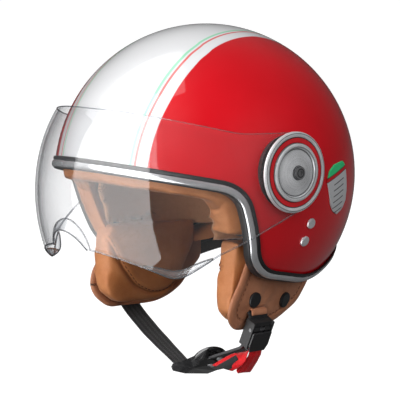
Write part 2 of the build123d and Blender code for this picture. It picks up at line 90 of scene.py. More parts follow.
def rounded(points, radii, step=1.0):
    """Straight runs joined by tangent arcs, as a fine polyline."""
    corners = [Vector(p) for p in points]
    line = [corners[0]]
    for before, here, after, radius in zip(corners, corners[1:], corners[2:], radii):
        back, on = (before - here).normalized(), (after - here).normalized()
        half_turn = (math.pi - back.angle(on)) / 2
        centre = here + (back + on).normalized() * (radius / math.cos(half_turn))
        start = here + back * radius * math.tan(half_turn) - centre
        end = here + on * radius * math.tan(half_turn) - centre
        count = max(3, int(2 * half_turn * radius / step))
        for i in range(count + 1):
            share = i / count
            arm = start * math.sin((1 - share) * 2 * half_turn) + end * math.sin(share * 2 * half_turn)
            line.append(centre + arm / math.sin(2 * half_turn))
    line.append(corners[-1])
    return line


def resample(line, step, closed=False):
    """Points spaced evenly along a polyline of vectors of any size; the first three numbers are the place."""
    points = list(line) + ([line[0]] if closed else [])
    sizes = [math.dist(a[:3], b[:3]) for a, b in zip(points, points[1:])]
    total = sum(sizes)
    count = max(2, round(total / step))
    out, i, run = [], 0, 0.0
    for k in range(count if closed else count + 1):
        target = total * k / count
        while i < len(sizes) - 1 and run + sizes[i] < target:
            run += sizes[i]
            i += 1
        share = min(1.0, (target - run) / max(sizes[i], 1e-9))
        out.append(tuple(lerp(p, q, share) for p, q in zip(points[i], points[i + 1])))
    return out


def make_mesh(name, points, faces, material):
    mesh = bpy.data.meshes.new(name)
    mesh.from_pydata([Vector(p) * MM for p in points], [], faces)
    mesh.update()
    obj = bpy.data.objects.new(name, mesh)
    scene.collection.objects.link(obj)
    finish_mesh(obj, material)
    return obj


def finish_mesh(obj, material):
    """Outward normals, smooth shading and one material."""
    bm = bmesh.new()
    bm.from_mesh(obj.data)
    bmesh.ops.recalc_face_normals(bm, faces=bm.faces)
    for face in bm.faces:
        face.smooth = True
    bm.to_mesh(obj.data)
    bm.free()
    obj.data.materials.clear()
    obj.data.materials.append(material)


def skin(name, rings, material, loop=False, caps=True):
    """Quads between closed rings of points; loop joins the last ring to the first."""
    size = len(rings[0])
    points = [p for ring in rings for p in ring]
    faces = []
    for i in range(len(rings) if loop else len(rings) - 1):
        a, b = i * size, (i + 1) % len(rings) * size
        for k in range(size):
            n = (k + 1) % size
            faces.append((a + k, a + n, b + n, b + k))
    if caps and not loop:
        faces.append(tuple(range(size - 1, -1, -1)))
        faces.append(tuple(range(len(points) - size, len(points))))
    return make_mesh(name, points, faces, material)


def tube(name, line, radius, material, sides=10, squash=1.0):
    """Round tube along a fine polyline, with its radius a number or a function of the share along it."""
    points = [Vector(p[:3]) for p in line]
    rings, across = [], None
    for i, p in enumerate(points):
        along = (points[min(i + 1, len(points) - 1)] - points[max(i - 1, 0)]).normalized()
        if across is None:
            across = along.orthogonal().normalized()
        across = (across - along * across.dot(along)).normalized()
        up = along.cross(across)
        r = radius(i / (len(points) - 1)) if callable(radius) else radius
        turn = [2 * math.pi * k / sides for k in range(sides)]
        rings.append([p + across * r * math.cos(t) + up * r * squash * math.sin(t) for t in turn])
    return skin(name, rings, material)


def bake(obj):
    """Makes what the modifiers show the object's own mesh."""
    graph = bpy.context.evaluated_depsgraph_get()
    mesh = bpy.data.meshes.new_from_object(obj.evaluated_get(graph))
    obj.modifiers.clear()
    obj.data = mesh


def tree_of(obj):
    graph = bpy.context.evaluated_depsgraph_get()
    return BVHTree.FromObject(obj, graph)


# ---- the shell's rim, as a closed curve with a frame at each point ----
def shell_x(y, z):
    inside = 1 - (y / SHELL[1]) ** 2 - (z / SHELL[2]) ** 2
    return SHELL[0] * math.sqrt(max(0.0, inside))


def shell_normal(point):
    return Vector(c / s ** 2 for c, s in zip(point, SHELL)).normalized()


def rim_half():
    """(x, y, z, ty, tz) along the rim from the front to the back, on the wearer's left."""
    fine = rounded(RIM_POINTS, RIM_RADII, 0.5)
    dense = []
    for a, b in zip(fine, fine[1:]):
        parts = max(1, int((b - a).length / 0.5))
        heading = (b - a).normalized() if (b - a).length > 1e-9 else Vector((1, 0))
        dense += [(*(a + (b - a) * k / parts), *heading) for k in range(parts)]
    inside = [p for p in dense if (p[0] / SHELL[1]) ** 2 + (p[1] / SHELL[2]) ** 2 < 1]
    return [(shell_x(p[0], p[1]), *p) for p in inside]


def rim_frames(step=3.0):
    """Rim points with their surface normal, the way up the surface and the way out along the cut."""
    half = rim_half()
    mirrored = [(-x, y, z, ty, tz) for x, y, z, ty, tz in reversed(half)]
    ring = resample(half + mirrored, step, closed=True)
    frames = []
    for i, p in enumerate(ring):
        here = Vector(p[:3])
        along = (Vector(ring[(i + 1) % len(ring)][:3]) - Vector(ring[i - 1][:3])).normalized()
        normal = shell_normal(here)
        up = normal.cross(along).normalized()
        if up.z < 0:
            up.negate()
        out = Vector((0, -p[4], p[3])).cross(along).normalized()
        if out.dot(normal) < 0:
            out.negate()
        frames.append((here, normal, up, out / max(0.5, out.dot(normal))))
    return frames


RIM = rim_frames()


def sweep_rim(name, profile, material):
    """Sweeps a closed (up, out) profile round the whole rim."""
    rings = [[here + up * u + out * v for u, v in profile] for here, _, up, out in RIM]
    return skin(name, rings, material, loop=True)


# ---- node materials ----
class Nodes:
    """Adds nodes to a tree and hands back their output sockets. Shader lengths are metres."""

    def __init__(self, tree):
        self.tree = tree

    def feed(self, socket, value):
        if isinstance(value, bpy.types.NodeSocket):
            self.tree.links.new(value, socket)
        elif hasattr(value, "__len__") and len(value) == 3 and len(socket.default_value) == 4:
            socket.default_value = (*value, 1.0)
        else:
            socket.default_value = value

    def add(self, kind, **inputs):
        node = self.tree.nodes.new(kind)
        for key, value in inputs.items():
            self.feed(node.inputs[key.replace("_", " ")], value)
        return node

    def math(self, operation, *values):
        node = self.add("ShaderNodeMath")
        node.operation = operation
        for socket, value in zip(node.inputs, values):
            self.feed(socket, value)
        return node.outputs[0]

    def plus(self, a, b):
        return self.math("ADD", a, b)

    def minus(self, a, b):
        return self.math("SUBTRACT", a, b)

    def times(self, a, b):
        return self.math("MULTIPLY", a, b)

    def size(self, a):
        return self.math("ABSOLUTE", a)

    def axes(self, source):
        return self.add("ShaderNodeSeparateXYZ", Vector=source).outputs

    def ramp(self, value, *stops, smooth="LINEAR"):
        node = self.add("ShaderNodeValToRGB", Fac=value)
        node.color_ramp.interpolation = smooth
        elements = node.color_ramp.elements
        while len(elements) < len(stops):
            elements.new(0.5)
        for element, (position, colour) in zip(elements, stops):
            element.position = position
            level = colour if hasattr(colour, "__len__") else (colour,) * 3
            element.color = (*level, 1.0)
        return node.outputs["Color"]


class Material(Nodes):
    """One node material round a Principled shader."""

    def __init__(self, name):
        self.made = bpy.data.materials.new(name)
        self.made.use_nodes = True
        super().__init__(self.made.node_tree)
        self.shader = self.tree.nodes["Principled BSDF"]
        self.output = self.tree.nodes["Material Output"]
        self.place = self.add("ShaderNodeTexCoord").outputs["Object"]

    def from_pivot(self):
        """The place seen from the visor's axis: its y part, its z part and its distance."""
        _, y, z = self.axes(self.place)
        dy, dz = self.minus(y, PIVOT[0] * MM), self.minus(z, PIVOT[1] * MM)
        return dy, dz, self.math("SQRT", self.plus(self.times(dy, dy), self.times(dz, dz)))

    def noise(self, scale, detail=2.0, rough=0.5, source=None):
        node = self.add("ShaderNodeTexNoise", Vector=source or self.place, Scale=scale, Detail=detail,
                        Roughness=rough)
        return node.outputs["Fac"]

    def cells(self, scale, source=None, feature="F1"):
        node = self.add("ShaderNodeTexVoronoi", Vector=source or self.place, Scale=scale)
        node.feature = feature
        return node.outputs["Distance"]

    def step(self, value, edge, soft):
        """0 below edge and 1 above it, soft wide."""
        node = self.add("ShaderNodeMapRange")
        for index, level in enumerate((value, edge - soft / 2, edge + soft / 2)):
            self.feed(node.inputs[index], level)
        return node.outputs[0]

    def mix(self, share, a, b):
        node = self.add("ShaderNodeMix")
        node.data_type = "RGBA"
        colours = [s for s in node.inputs if s.type == "RGBA"]
        self.feed(node.inputs[0], share)
        self.feed(colours[0], a)
        self.feed(colours[1], b)
        return next(s for s in node.outputs if s.type == "RGBA")

    def bump(self, height, strength, depth, over=None):
        node = self.add("ShaderNodeBump", Strength=strength, Distance=depth * MM, Height=height)
        if over is not None:
            self.feed(node.inputs["Normal"], over)
        return node.outputs["Normal"]

    def set(self, **inputs):
        for key, value in inputs.items():
            self.feed(self.shader.inputs[key.replace("_", " ")], value)
        return self.made


def shell_paint():
    """Red lacquer with a white stripe over the crown, a red and a green pinstripe at each side of it."""
    m = Material("shell_paint")
    x, y, z = m.axes(m.place)
    side = m.size(x)
    turn = m.math("ARCTAN2", y, z)
    lap = m.plus(m.times(turn, 1 / math.pi), 0.5)
    # the stripe's half width in decimetres, by the share of the way from the front over the crown
    widths = [(0.0, 0.575), (0.22, 0.572), (0.33, 0.535), (0.39, 0.50), (0.52, 0.435), (0.62, 0.40),
              (0.8, 0.365), (1.0, 0.35)]
    half = m.times(m.ramp(lap, *widths, smooth="CARDINAL"), 0.1)
    far = m.times(m.step(m.times(x, -1.0), 0.0, 0.04), 0.13)
    half = m.times(half, m.minus(1.0, far))
    past = m.minus(side, half)
    speckle = m.noise(28.0, 3.0)
    red = m.mix(speckle, (0.60, 0.0006, 0.006), (0.68, 0.0012, 0.010))
    white = m.mix(speckle, (0.78, 0.785, 0.80), (0.84, 0.84, 0.85))
    colour = m.mix(m.step(past, 0.0, 0.0004), white, red)
    pinstripes = ((-0.0093, 0.0018, (0.78, 0.17, 0.16)), (-0.0128, 0.0021, (0.33, 0.74, 0.50)))
    for centre, width, paint in pinstripes:
        away = m.size(m.minus(past, centre))
        colour = m.mix(m.step(away, width / 2, 0.0004), paint, colour)
    reach = 0.0
    for along, semi_axis in zip((x, y, z), SHELL):
        share = m.times(along, 1 / (semi_axis * MM))
        reach = m.plus(reach, m.times(share, share))
    inner_face = (0.018, 0.016, 0.016)
    colour = m.mix(m.step(reach, 0.955, 0.01), inner_face, colour)
    peel = m.bump(m.noise(420.0, 2.0), 0.035, 0.25)
    rough = m.ramp(m.noise(60.0, 4.0), (0.3, 0.30), (0.7, 0.38))
    return m.set(Base_Color=colour, Roughness=rough, Coat_Weight=1.0, Coat_Roughness=0.03, Coat_IOR=1.5,
                 Specular_IOR_Level=0.2, Normal=peel)


def leather(name, light, dark, grain=1.0):
    """Soft leather: pores, mottled colour, painted shade darkening creases and hollows, and raised places
    lighter.
    """
    m = Material(name)
    mottle = m.noise(38.0, 5.0, 0.62)
    colour = m.mix(m.ramp(mottle, (0.3, 0.0), (0.72, 1.0)), dark, light)
    pores = m.cells(950.0 / grain)
    colour = m.mix(m.ramp(pores, (0.02, 0.42), (0.35, 0.0)), colour, dark)
    edge = m.add("ShaderNodeNewGeometry").outputs["Pointiness"]
    painted_crease_shade = [c * 0.28 for c in dark]
    worn = [min(1.0, c * 1.25) for c in light]
    # painted shade: darker where Pointiness finds creases, seams and hollows
    colour = m.mix(m.ramp(edge, (0.40, 1.0), (0.485, 0.0)), colour, painted_crease_shade)
    colour = m.mix(m.ramp(edge, (0.53, 0.0), (0.62, 0.35)), colour, worn)
    creases = m.cells(170.0 / grain, feature="DISTANCE_TO_EDGE")
    fine = m.bump(pores, 0.35, 0.22)
    normal = m.bump(m.ramp(creases, (0.0, 0.0), (0.08, 1.0)), 0.10, 0.35, over=fine)
    normal = m.bump(m.noise(70.0, 3.0), 0.35, 1.2, over=normal)
    rough = m.ramp(m.noise(240.0, 3.0), (0.3, 0.44), (0.7, 0.62))
    return m.set(Base_Color=colour, Roughness=rough, Normal=normal, Sheen_Weight=0.12, Sheen_Roughness=0.45,
                 Specular_IOR_Level=0.38)


def lining():
    """Brushed dark brown lining with a lighter suede panel at the back of the crown, and painted shade in its
    seams and hollows.
    """
    m = Material("lining")
    x, y, _ = m.axes(m.place)
    nap = m.noise(320.0, 4.0, 0.7)
    dark = m.mix(nap, (0.42, 0.195, 0.095), (0.60, 0.31, 0.165))
    suede = m.mix(nap, (0.62, 0.37, 0.23), (0.80, 0.52, 0.35))
    panel = m.minus(1.0, m.step(m.size(x), LINING_SEAM_X * MM, 0.0012))
    colour = m.mix(m.times(panel, m.step(y, 0.02, 0.004)), dark, suede)
    edge = m.add("ShaderNodeNewGeometry").outputs["Pointiness"]
    # painted shade: nearly black where Pointiness finds the pressed seams and hollows
    colour = m.mix(m.ramp(edge, (0.40, 1.0), (0.48, 0.0)), colour, (0.03, 0.012, 0.006))
    weave = m.bump(m.noise(900.0, 2.0), 0.4, 0.3)
    return m.set(Base_Color=colour, Roughness=m.ramp(nap, (0.3, 0.72), (0.7, 0.9)), Sheen_Weight=0.5,
                 Sheen_Roughness=0.4, Normal=m.bump(nap, 0.3, 0.5, over=weave), Specular_IOR_Level=0.2)


def foam():
    """Black expanded beads."""
    m = Material("foam")
    beads = m.cells(330.0)
    colour = m.mix(m.ramp(beads, (0.1, 0.0), (0.6, 1.0)), (0.030, 0.030, 0.033), (0.008, 0.008, 0.009))
    return m.set(Base_Color=colour, Roughness=m.ramp(beads, (0.0, 0.55), (0.6, 0.85)),
                 Normal=m.bump(beads, 0.6, -0.8))


def moulded(name, colour, rough, grain=0.25, coat=0.0, scuff=0.25):
    """Moulded rubber or plastic: fine texture, slight colour drift, paler worn edges."""
    m = Material(name)
    drift = m.noise(90.0, 4.0)
    deep = [c * 0.72 for c in colour]
    pale = [min(1.0, c * 1.25 + 0.004) for c in colour]
    tone = m.mix(drift, deep, pale)
    edge = m.add("ShaderNodeNewGeometry").outputs["Pointiness"]
    rubbed = [min(1.0, c * 2.2 + 0.03) for c in colour]
    tone = m.mix(m.ramp(edge, (0.54, 0.0), (0.66, scuff)), tone, rubbed)
    spread = m.ramp(m.noise(200.0, 3.0), (0.3, rough - 0.05), (0.7, rough + 0.07))
    texture = m.bump(m.noise(1500.0, 2.0), grain, 0.12)
    return m.set(Base_Color=tone, Roughness=spread, Normal=texture, Coat_Weight=coat, Coat_Roughness=0.06)


def metal(name, colour, rough, turned=False, scratch=0.12, metallic=1.0):
    """Bright metal, with fine scratches, or with the rings of a lathe about the visor's axis and painted
    shade lines where the medallion's rings step.
    """
    m = Material(name)
    step_shade = 0.0
    if turned:
        dy, dz, radius = m.from_pivot()
        rings = m.add("ShaderNodeCombineXYZ", X=radius).outputs[0]
        lines = m.noise(5200.0, 3.0, 0.7, source=rings)
        tangent = m.add("ShaderNodeCombineXYZ", Y=m.times(dz, -1.0), Z=dy).outputs[0]
        m.set(Tangent=tangent, Anisotropic=0.55)
        # painted shade: dark lines where the medallion's rings step
        for line, width in STEP_SHADE_LINES:
            near = m.minus(1.0, m.step(m.size(m.minus(radius, line * MM)), width * MM, 0.0003))
            step_shade = m.math("MAXIMUM", near, step_shade)
        step_shade = m.times(step_shade, 0.82)
    else:
        stretched = m.add("ShaderNodeMapping", Vector=m.place, Scale=(1.0, 1.0, 14.0))
        lines = m.noise(260.0, 4.0, 0.7, source=stretched.outputs[0])
    stain = m.noise(55.0, 4.0)
    dull = [c * 0.80 for c in colour]
    tone = m.mix(m.ramp(stain, (0.35, 0.0), (0.7, 1.0)), dull, colour)
    tone = m.mix(step_shade, tone, (0.05, 0.05, 0.055))
    spread = m.ramp(lines, (0.25, max(0.02, rough - 0.06)), (0.75, rough + 0.08))
    return m.set(Base_Color=tone, Metallic=metallic, Roughness=spread, Normal=m.bump(lines, scratch, 0.05))


def gloss_red():
    """Enamel of the medallion's red ring, with painted shade along its two edges where it meets the metal
    rings.
    """
    m = Material("red_ring")
    _, _, radius = m.from_pivot()
    edge = m.size(m.minus(radius, RED_RING_R * MM))
    depth = m.noise(160.0, 3.0)
    tone = m.mix(depth, (0.60, 0.006, 0.012), (0.72, 0.012, 0.02))
    # painted shade: dark bands along the ring's two edges
    tone = m.mix(m.step(edge, RED_RING_HALF * MM, 0.0004), tone, (0.012, 0.001, 0.001))
    return m.set(Base_Color=tone, Roughness=m.ramp(depth, (0.3, 0.16), (0.7, 0.24)), Coat_Weight=1.0,
                 Coat_Roughness=0.03, Normal=m.bump(m.noise(900.0), 0.04, 0.1))


def webbing(name, colour, shine=0.75):
    """Woven strap. u runs along it and v across it, both in metres, in its UV map."""
    m = Material(name)
    uv = m.add("ShaderNodeTexCoord").outputs["UV"]
    u, v, _ = m.axes(uv)
    ribs = m.math("SINE", m.times(m.plus(u, m.math("PINGPONG", v, 0.0025)), 2 * math.pi / 0.0011))
    yarns = m.math("SINE", m.times(v, 2 * math.pi / 0.0009))
    weave = m.times(m.plus(ribs, m.times(yarns, 0.6)), 0.3)
    fuzz = m.noise(700.0, 4.0, 0.7)
    height = m.plus(weave, fuzz)
    low, high = [c * 0.55 for c in colour], [min(1.0, c * 1.35) for c in colour]
    tone = m.mix(m.ramp(height, (0.2, 0.0), (1.0, 1.0)), low, high)
    return m.set(Base_Color=tone, Roughness=m.ramp(fuzz, (0.3, shine - 0.08), (0.7, shine + 0.08)),
                 Normal=m.bump(height, 0.7, 0.35), Sheen_Weight=0.25, Sheen_Roughness=0.35,
                 Specular_IOR_Level=0.3)


def badge_metal():
    """Plain plaque: brushed plate, a red and a green band over its slanting top, engraved lines."""
    m = Material("badge_metal")
    _, y, z = m.axes(m.place)
    across = m.minus(y, 0.0450)
    height = m.minus(z, m.times(across, 0.30))      # over the plaque's middle
    brush = m.add("ShaderNodeCombineXYZ", X=m.times(across, 40.0), Y=m.times(z, 3.0))
    lines = m.noise(60.0, 4.0, 0.7, source=brush.outputs[0])
    colour = m.mix(lines, (0.60, 0.61, 0.63), (0.80, 0.81, 0.83))
    for edge, band in ((0.0064, (0.02, 0.02, 0.022)), (0.0069, (0.60, 0.008, 0.014)),
                       (0.0095, (0.02, 0.02, 0.022)), (0.0101, (0.04, 0.60, 0.22))):
        colour = m.mix(m.step(height, edge, 0.0003), colour, band)
    rows = m.step(m.math("PINGPONG", m.plus(height, 0.03), 0.0024), 0.0020, 0.0002)
    engraved = m.times(rows, m.minus(1.0, m.step(m.size(across), 0.0078, 0.0002)))
    engraved = m.times(engraved, m.minus(1.0, m.step(height, 0.0030, 0.0002)))
    colour = m.mix(engraved, colour, (0.05, 0.05, 0.055))
    metallic = m.times(m.minus(1.0, m.step(height, 0.0064, 0.0003)), 0.3)
    return m.set(Base_Color=colour, Metallic=metallic, Roughness=m.ramp(lines, (0.2, 0.28), (0.8, 0.42)),
                 Normal=m.bump(m.minus(lines, engraved), 0.2, 0.15))


def clear(name, tint, edge_tint, haze, mirror=1.0, curve=4.0):
    """Thin clear plastic: see-through, greyer where it is seen edge on, with a mirror-like gloss."""
    m = Material(name)
    link = m.tree.links.new
    facing = m.add("ShaderNodeLayerWeight", Blend=0.5).outputs["Facing"]
    steep = m.math("POWER", facing, curve)
    dust = m.noise(18.0, 4.0)
    through = m.add("ShaderNodeBsdfTransparent", Color=m.mix(steep, tint, edge_tint)).outputs[0]
    film = m.set(Base_Color=m.mix(dust, (0.72, 0.74, 0.77), (0.86, 0.87, 0.89)), Roughness=0.5,
                 Specular_IOR_Level=0.0)
    veil = m.add("ShaderNodeMixShader", Fac=m.ramp(dust, (0.3, haze * 0.7), (0.7, haze * 1.2)))
    link(through, veil.inputs[1])
    link(m.shader.outputs[0], veil.inputs[2])
    gloss = m.add("ShaderNodeBsdfGlossy", Color=(1, 1, 1), Roughness=0.02).outputs[0]
    shine = m.plus(m.times(m.math("POWER", facing, 4.0), 0.55 * mirror), 0.03 * mirror)
    top = m.add("ShaderNodeMixShader", Fac=shine)
    link(veil.outputs[0], top.inputs[1])
    link(gloss, top.inputs[2])
    link(top.outputs[0], m.output.inputs["Surface"])
    return film


TAN, TAN_DARK = (0.60, 0.245, 0.095), (0.44, 0.150, 0.045)
MATERIALS = {
    "shell_paint": shell_paint(),
    "foam": foam(),
    "lining": lining(),
    "tan_leather": leather("tan_leather", TAN, TAN_DARK),
    "flap_leather": leather("flap_leather", (0.50, 0.215, 0.115), (0.355, 0.135, 0.065)),
    "trim_rubber": moulded("trim_rubber", (0.012, 0.012, 0.013), 0.42, 0.2, scuff=0.1),
    "trim_chrome": metal("trim_chrome", (0.86, 0.87, 0.89), 0.20, scratch=0.05, metallic=0.7),
    "badge_metal": badge_metal(),
    "rivet_metal": metal("rivet_metal", (0.82, 0.82, 0.84), 0.30, metallic=0.45),
    "webbing": webbing("webbing", (0.032, 0.032, 0.034)),
    "stud_black": moulded("stud_black", (0.012, 0.013, 0.014), 0.36, 0.5),
    "black_plastic": moulded("black_plastic", (0.020, 0.020, 0.021), 0.46, 0.6),
    "gloss_black": moulded("gloss_black", (0.010, 0.010, 0.011), 0.16, 0.1, coat=0.8),
    "strip_plastic": moulded("strip_plastic", (0.030, 0.030, 0.032), 0.42, 0.5),
    "nylon": moulded("nylon", (0.72, 0.71, 0.66), 0.4, 0.3),
    "spring_steel": metal("spring_steel", (0.50, 0.50, 0.52), 0.28),
    "satin_metal": metal("satin_metal", (0.90, 0.91, 0.93), 0.28, turned=True, metallic=0.45),
    "red_ring": gloss_red(),
    # painted shade: the screw's steel is darker to show the depth of its socket
    "screw_steel": metal("screw_steel", (0.42, 0.42, 0.43), 0.30, turned=True, metallic=0.8),
    "visor_clear": clear("visor_clear", (0.985, 0.986, 0.988), (0.80, 0.805, 0.82), 0.014, 1.0),
    "red_ribbon": webbing("red_ribbon", (0.86, 0.008, 0.014), 0.6),
}
SLOTS = {part["node"]: part["material_slot"] for part in frame["record"]["subparts"]}
for node, slot in SLOTS.items():
    nodes[node].data.materials.clear()
    nodes[node].data.materials.append(MATERIALS[slot])


def round_edges(obj, width, segments=3):
    """A small moulded radius on a piece's sharp edges."""
    weld = obj.modifiers.new("weld", "WELD")
    weld.merge_threshold = 0.000002
    bevel = obj.modifiers.new("radius", "BEVEL")
    bevel.width = width * MM
    bevel.segments = segments
    bevel.limit_method = "ANGLE"
    bevel.angle_limit = math.radians(35)
    bevel.harden_normals = True


def place_piece(obj, body, slot, *replaced):
    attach(obj, body)
    if replaced:
        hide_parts(*replaced)
    return obj


def copy_of(node, name):
    """An object of its own that starts as the CAD node's mesh."""
    obj = bpy.data.objects.new(name, nodes[node].data.copy())
    scene.collection.objects.link(obj)
    return obj


def move_points(obj, target):
    """Puts every vertex at target(place, normal), worked out from the shape before any has moved."""
    places = [target(v.co / MM, v.normal) for v in obj.data.vertices]
    for vertex, place in zip(obj.data.vertices, places):
        vertex.co = place * MM
    obj.data.update()


# ---- soft pieces: swollen from their CAD solids, then sewn ----
VOXEL = 4.0
SIM_FRAMES = 20
PRESSURE = 4.0


def soft_copy(node, name, shrink):
    """A copy of a CAD solid, remeshed evenly and drawn in by shrink."""
    obj = copy_of(node, name)
    remesh = obj.modifiers.new("even", "REMESH")
    remesh.mode = "VOXEL"
    remesh.voxel_size = VOXEL * MM
    bake(obj)
    move_points(obj, lambda place, normal: place - normal * shrink)
    return obj


def inflate(stock):
    """Cloth simulation of several stuffed pieces at once; stock is (object, furthest move)."""
    starts = [[v.co.copy() for v in obj.data.vertices] for obj, _ in stock]
    for obj, _ in stock:
        cloth = obj.modifiers.new("stuffing", "CLOTH")
        cloth.settings.use_pressure = True
        cloth.settings.uniform_pressure_force = PRESSURE
        cloth.settings.effector_weights.gravity = 0.0
        cloth.settings.quality = 5
        cloth.collision_settings.use_collision = False
    for number in range(1, SIM_FRAMES + 1):
        scene.frame_set(number)
    for (obj, cap), start in zip(stock, starts):
        bake(obj)
        for vertex, home in zip(obj.data.vertices, start):
            move = vertex.co - home
            if move.length > cap * MM:
                vertex.co = home + move.normalized() * cap * MM
    scene.frame_set(1)


def settle(obj, rounds, levels):
    """Evens out the remesh's steps and adds the final density."""
    smooth = obj.modifiers.new("even", "SMOOTH")
    smooth.factor = 0.5
    smooth.iterations = rounds
    dense = obj.modifiers.new("dense", "SUBSURF")
    dense.levels = dense.render_levels = levels
    bake(obj)


def sew(obj, seams, depth, width, puff=0.0):
    """Presses seam lines into obj, with the padding swelling a little beside them."""
    tree = KDTree(sum(len(seam) for seam in seams))
    for index, point in enumerate(p for seam in seams for p in seam):
        tree.insert(Vector(point[:3]), index)
    tree.balance()

    def pressed(place, normal):
        distance = tree.find(place)[2]
        shift = -depth * math.exp(-(distance / width) ** 2)
        shift += puff * math.exp(-((distance - 3.2 * width) / (1.6 * width)) ** 2)
        return place + normal * shift

    move_points(obj, pressed)


def wrinkle(obj, size, depth, seed):
    """Slow unevenness of a hand-sewn piece."""
    start = Vector((seed, seed * 0.7, -seed))
    move_points(obj, lambda place, normal: place + normal * noise.noise(place / size + start) * depth)


def on_surface(tree, line, direction=None, reach=400.0):
    """Where rays from line's points, outwards by default, first meet the surface, and its normal."""
    found = []
    for point in line:
        start = Vector(point)
        hit, normal, _, _ = tree.ray_cast(start * MM, Vector(direction or start.normalized()), reach * MM)
        if hit is not None:
            found.append((*(hit / MM), *normal))
    return found


def stitches(name, path, material, body, slot, pitch=4.4, length=3.0, radius=0.42, lift=0.15):
    """Thread along path, points with normals: one short raised stitch per pitch."""
    if len(path) < 3:
        return None
    points, faces, sides = [], [], 6
    marks = resample(path, pitch / 2)
    for i in range(1, len(marks) - 1, 2):
        here, normal = Vector(marks[i][:3]), Vector(marks[i][3:6]).normalized()
        along = (Vector(marks[i + 1][:3]) - Vector(marks[i - 1][:3])).normalized()
        across = normal.cross(along).normalized()
        first = len(points)
        profile = ((-0.5, 0.35, -0.25), (-0.38, 0.9, 0.25), (0.38, 0.9, 0.25), (0.5, 0.35, -0.25))
        for share, swell, height in profile:
            centre = here + along * share * length + normal * (lift + height * radius)
            for k in range(sides):
                angle = 2 * math.pi * k / sides
                offset = across * math.cos(angle) + normal * math.sin(angle)
                points.append(centre + offset * radius * swell)
        for ring in range(len(profile) - 1):
            a = first + ring * sides
            faces += [(a + k, a + (k + 1) % sides, a + (k + 1) % sides + sides, a + k + sides)
                      for k in range(sides)]
        faces.append(tuple(first + k for k in reversed(range(sides))))
        faces.append(tuple(len(points) - sides + k for k in range(sides)))
    return place_piece(make_mesh(name, points, faces, material), body, slot)


THREAD = moulded("thread", (0.16, 0.055, 0.022), 0.6, 0.5, scuff=0.0)
TAN_LEATHER, FLAP_SKIN = MATERIALS["tan_leather"], MATERIALS["flap_leather"]

pads = {side: soft_copy("cheek_pad_" + side, "cheek_cushion_" + side, 2.0) for side in SIDES}
brow = soft_copy("brow_roll", "brow_padding", 1.6)
neck = soft_copy("neck_roll", "neck_padding", 1.6)


def follow_shell(place, y, z):
    """The place moved to side view point (y, z), at the same depth under the shell."""
    depth = shell_x(place.y, place.z) - abs(place.x)
    return Vector((math.copysign(shell_x(y, z) - depth, place.x), y, z))


BROW_END = (-20.0, -22.0)         # (y, z) past which the right end of the brow roll is drawn out
BROW_STRETCH, BROW_SLANT = 2.5, 0.353
NECK_END_Y, NECK_STRETCH, NECK_SLANT = 76.0, 2.5, 0.3
PAD_BACK_SHARE, PAD_LEAN = 0.78, 5.0


def brow_drawn_down(place, _):
    if place.x >= 0.0 or place.y >= BROW_END[0] or place.z >= BROW_END[1]:
        return place
    lower = BROW_END[1] + (place.z - BROW_END[1]) * BROW_STRETCH
    return follow_shell(place, place.y + BROW_SLANT * (place.z - lower), lower)


def neck_drawn_forward(place, _):
    if place.y >= NECK_END_Y:
        return place
    forward = NECK_END_Y - (NECK_END_Y - place.y) * NECK_STRETCH
    return follow_shell(place, forward, place.z + (forward - place.y) * NECK_SLANT)


def pad_leaned(place, _):
    lean = PAD_LEAN * (1 + ease(place.z, -90.0, -50.0)) * ease(-place.y, 8.0, 48.0)
    y = place.y * PAD_BACK_SHARE if place.y > 0.0 else place.y
    return Vector((place.x, y - lean, place.z))


move_points(brow, brow_drawn_down)
move_points(neck, neck_drawn_forward)
move_points(pads["right"], pad_leaned)
inflate([(pads["left"], 3.4), (pads["right"], 3.4), (brow, 2.6), (neck, 2.6)])

# cheek pads: a sewn panel on the inner face, with a boxing strip round it
PAD_SEAM = [(-57.5, -45.0), (-49.0, -62.0), (-38.0, -82.0), (-25.0, -97.5), (-8.0, -105.5), (10.0, -105.5),
            (28.0, -95.5), (42.0, -76.0), (47.0, -50.0)]
for side, sign in SIDES.items():
    pad = pads[side]
    settle(pad, 4, 2)
    shift = PAD_SHIFT[side] * 0.2 + 8.0 * (side == "left")
    seam_plan = resample(rounded([(y + shift, z) for y, z in PAD_SEAM], [30] * 7), 1.0)
    rays = [(0.0, y, z) for y, z in seam_plan]
    seam = on_surface(tree_of(pad), rays, (sign, 0, 0))
    wrinkle(pad, 24.0, 0.8, 3.0 + sign)
    sew(pad, [seam], 1.9, 1.5, 0.5)
    finish_mesh(pad, TAN_LEATHER)
    place_piece(pad, "helmet", "tan_leather", "cheek_pad_" + side)
    seam = on_surface(tree_of(pad), [(0.0, y + 1.6, z + 1.2) for y, z in seam_plan], (sign, 0, 0))
    stitches("cheek_stitching_" + side, seam, THREAD, "helmet", "tan_leather")

# brow roll: one long roll with darts at its corners
DART = [(9, -7), (2, -6), (-6, -6), (-11, -9), (-12, -16), (-10, -23), (-4, -27), (4, -27)]   # up, out
settle(brow, 4, 1)
wrinkle(brow, 22.0, 0.7, 7.0)
darts = []
for here, normal, up, out in RIM:
    corner = abs(here.y + 62.0) < 1.6 or abs(here.z + 30.0) < 1.6
    if corner and here.y < -20.0 and abs(here.x) > 60.0:
        darts.append(resample([here + up * u + out * v for u, v in DART], 0.8))
sew(brow, darts, 1.3, 1.3, 0.25)
finish_mesh(brow, TAN_LEATHER)
place_piece(brow, "helmet", "tan_leather", "brow_roll")

settle(neck, 4, 1)
wrinkle(neck, 24.0, 0.7, 11.0)
neck_line = [here + up * 4.0 + out * -24.0 for here, _, up, out in RIM if here.y > 58.0]
sew(neck, [neck_line], 1.6, 1.6, 0.3)
finish_mesh(neck, TAN_LEATHER)
place_piece(neck, "helmet", "tan_leather", "neck_roll")

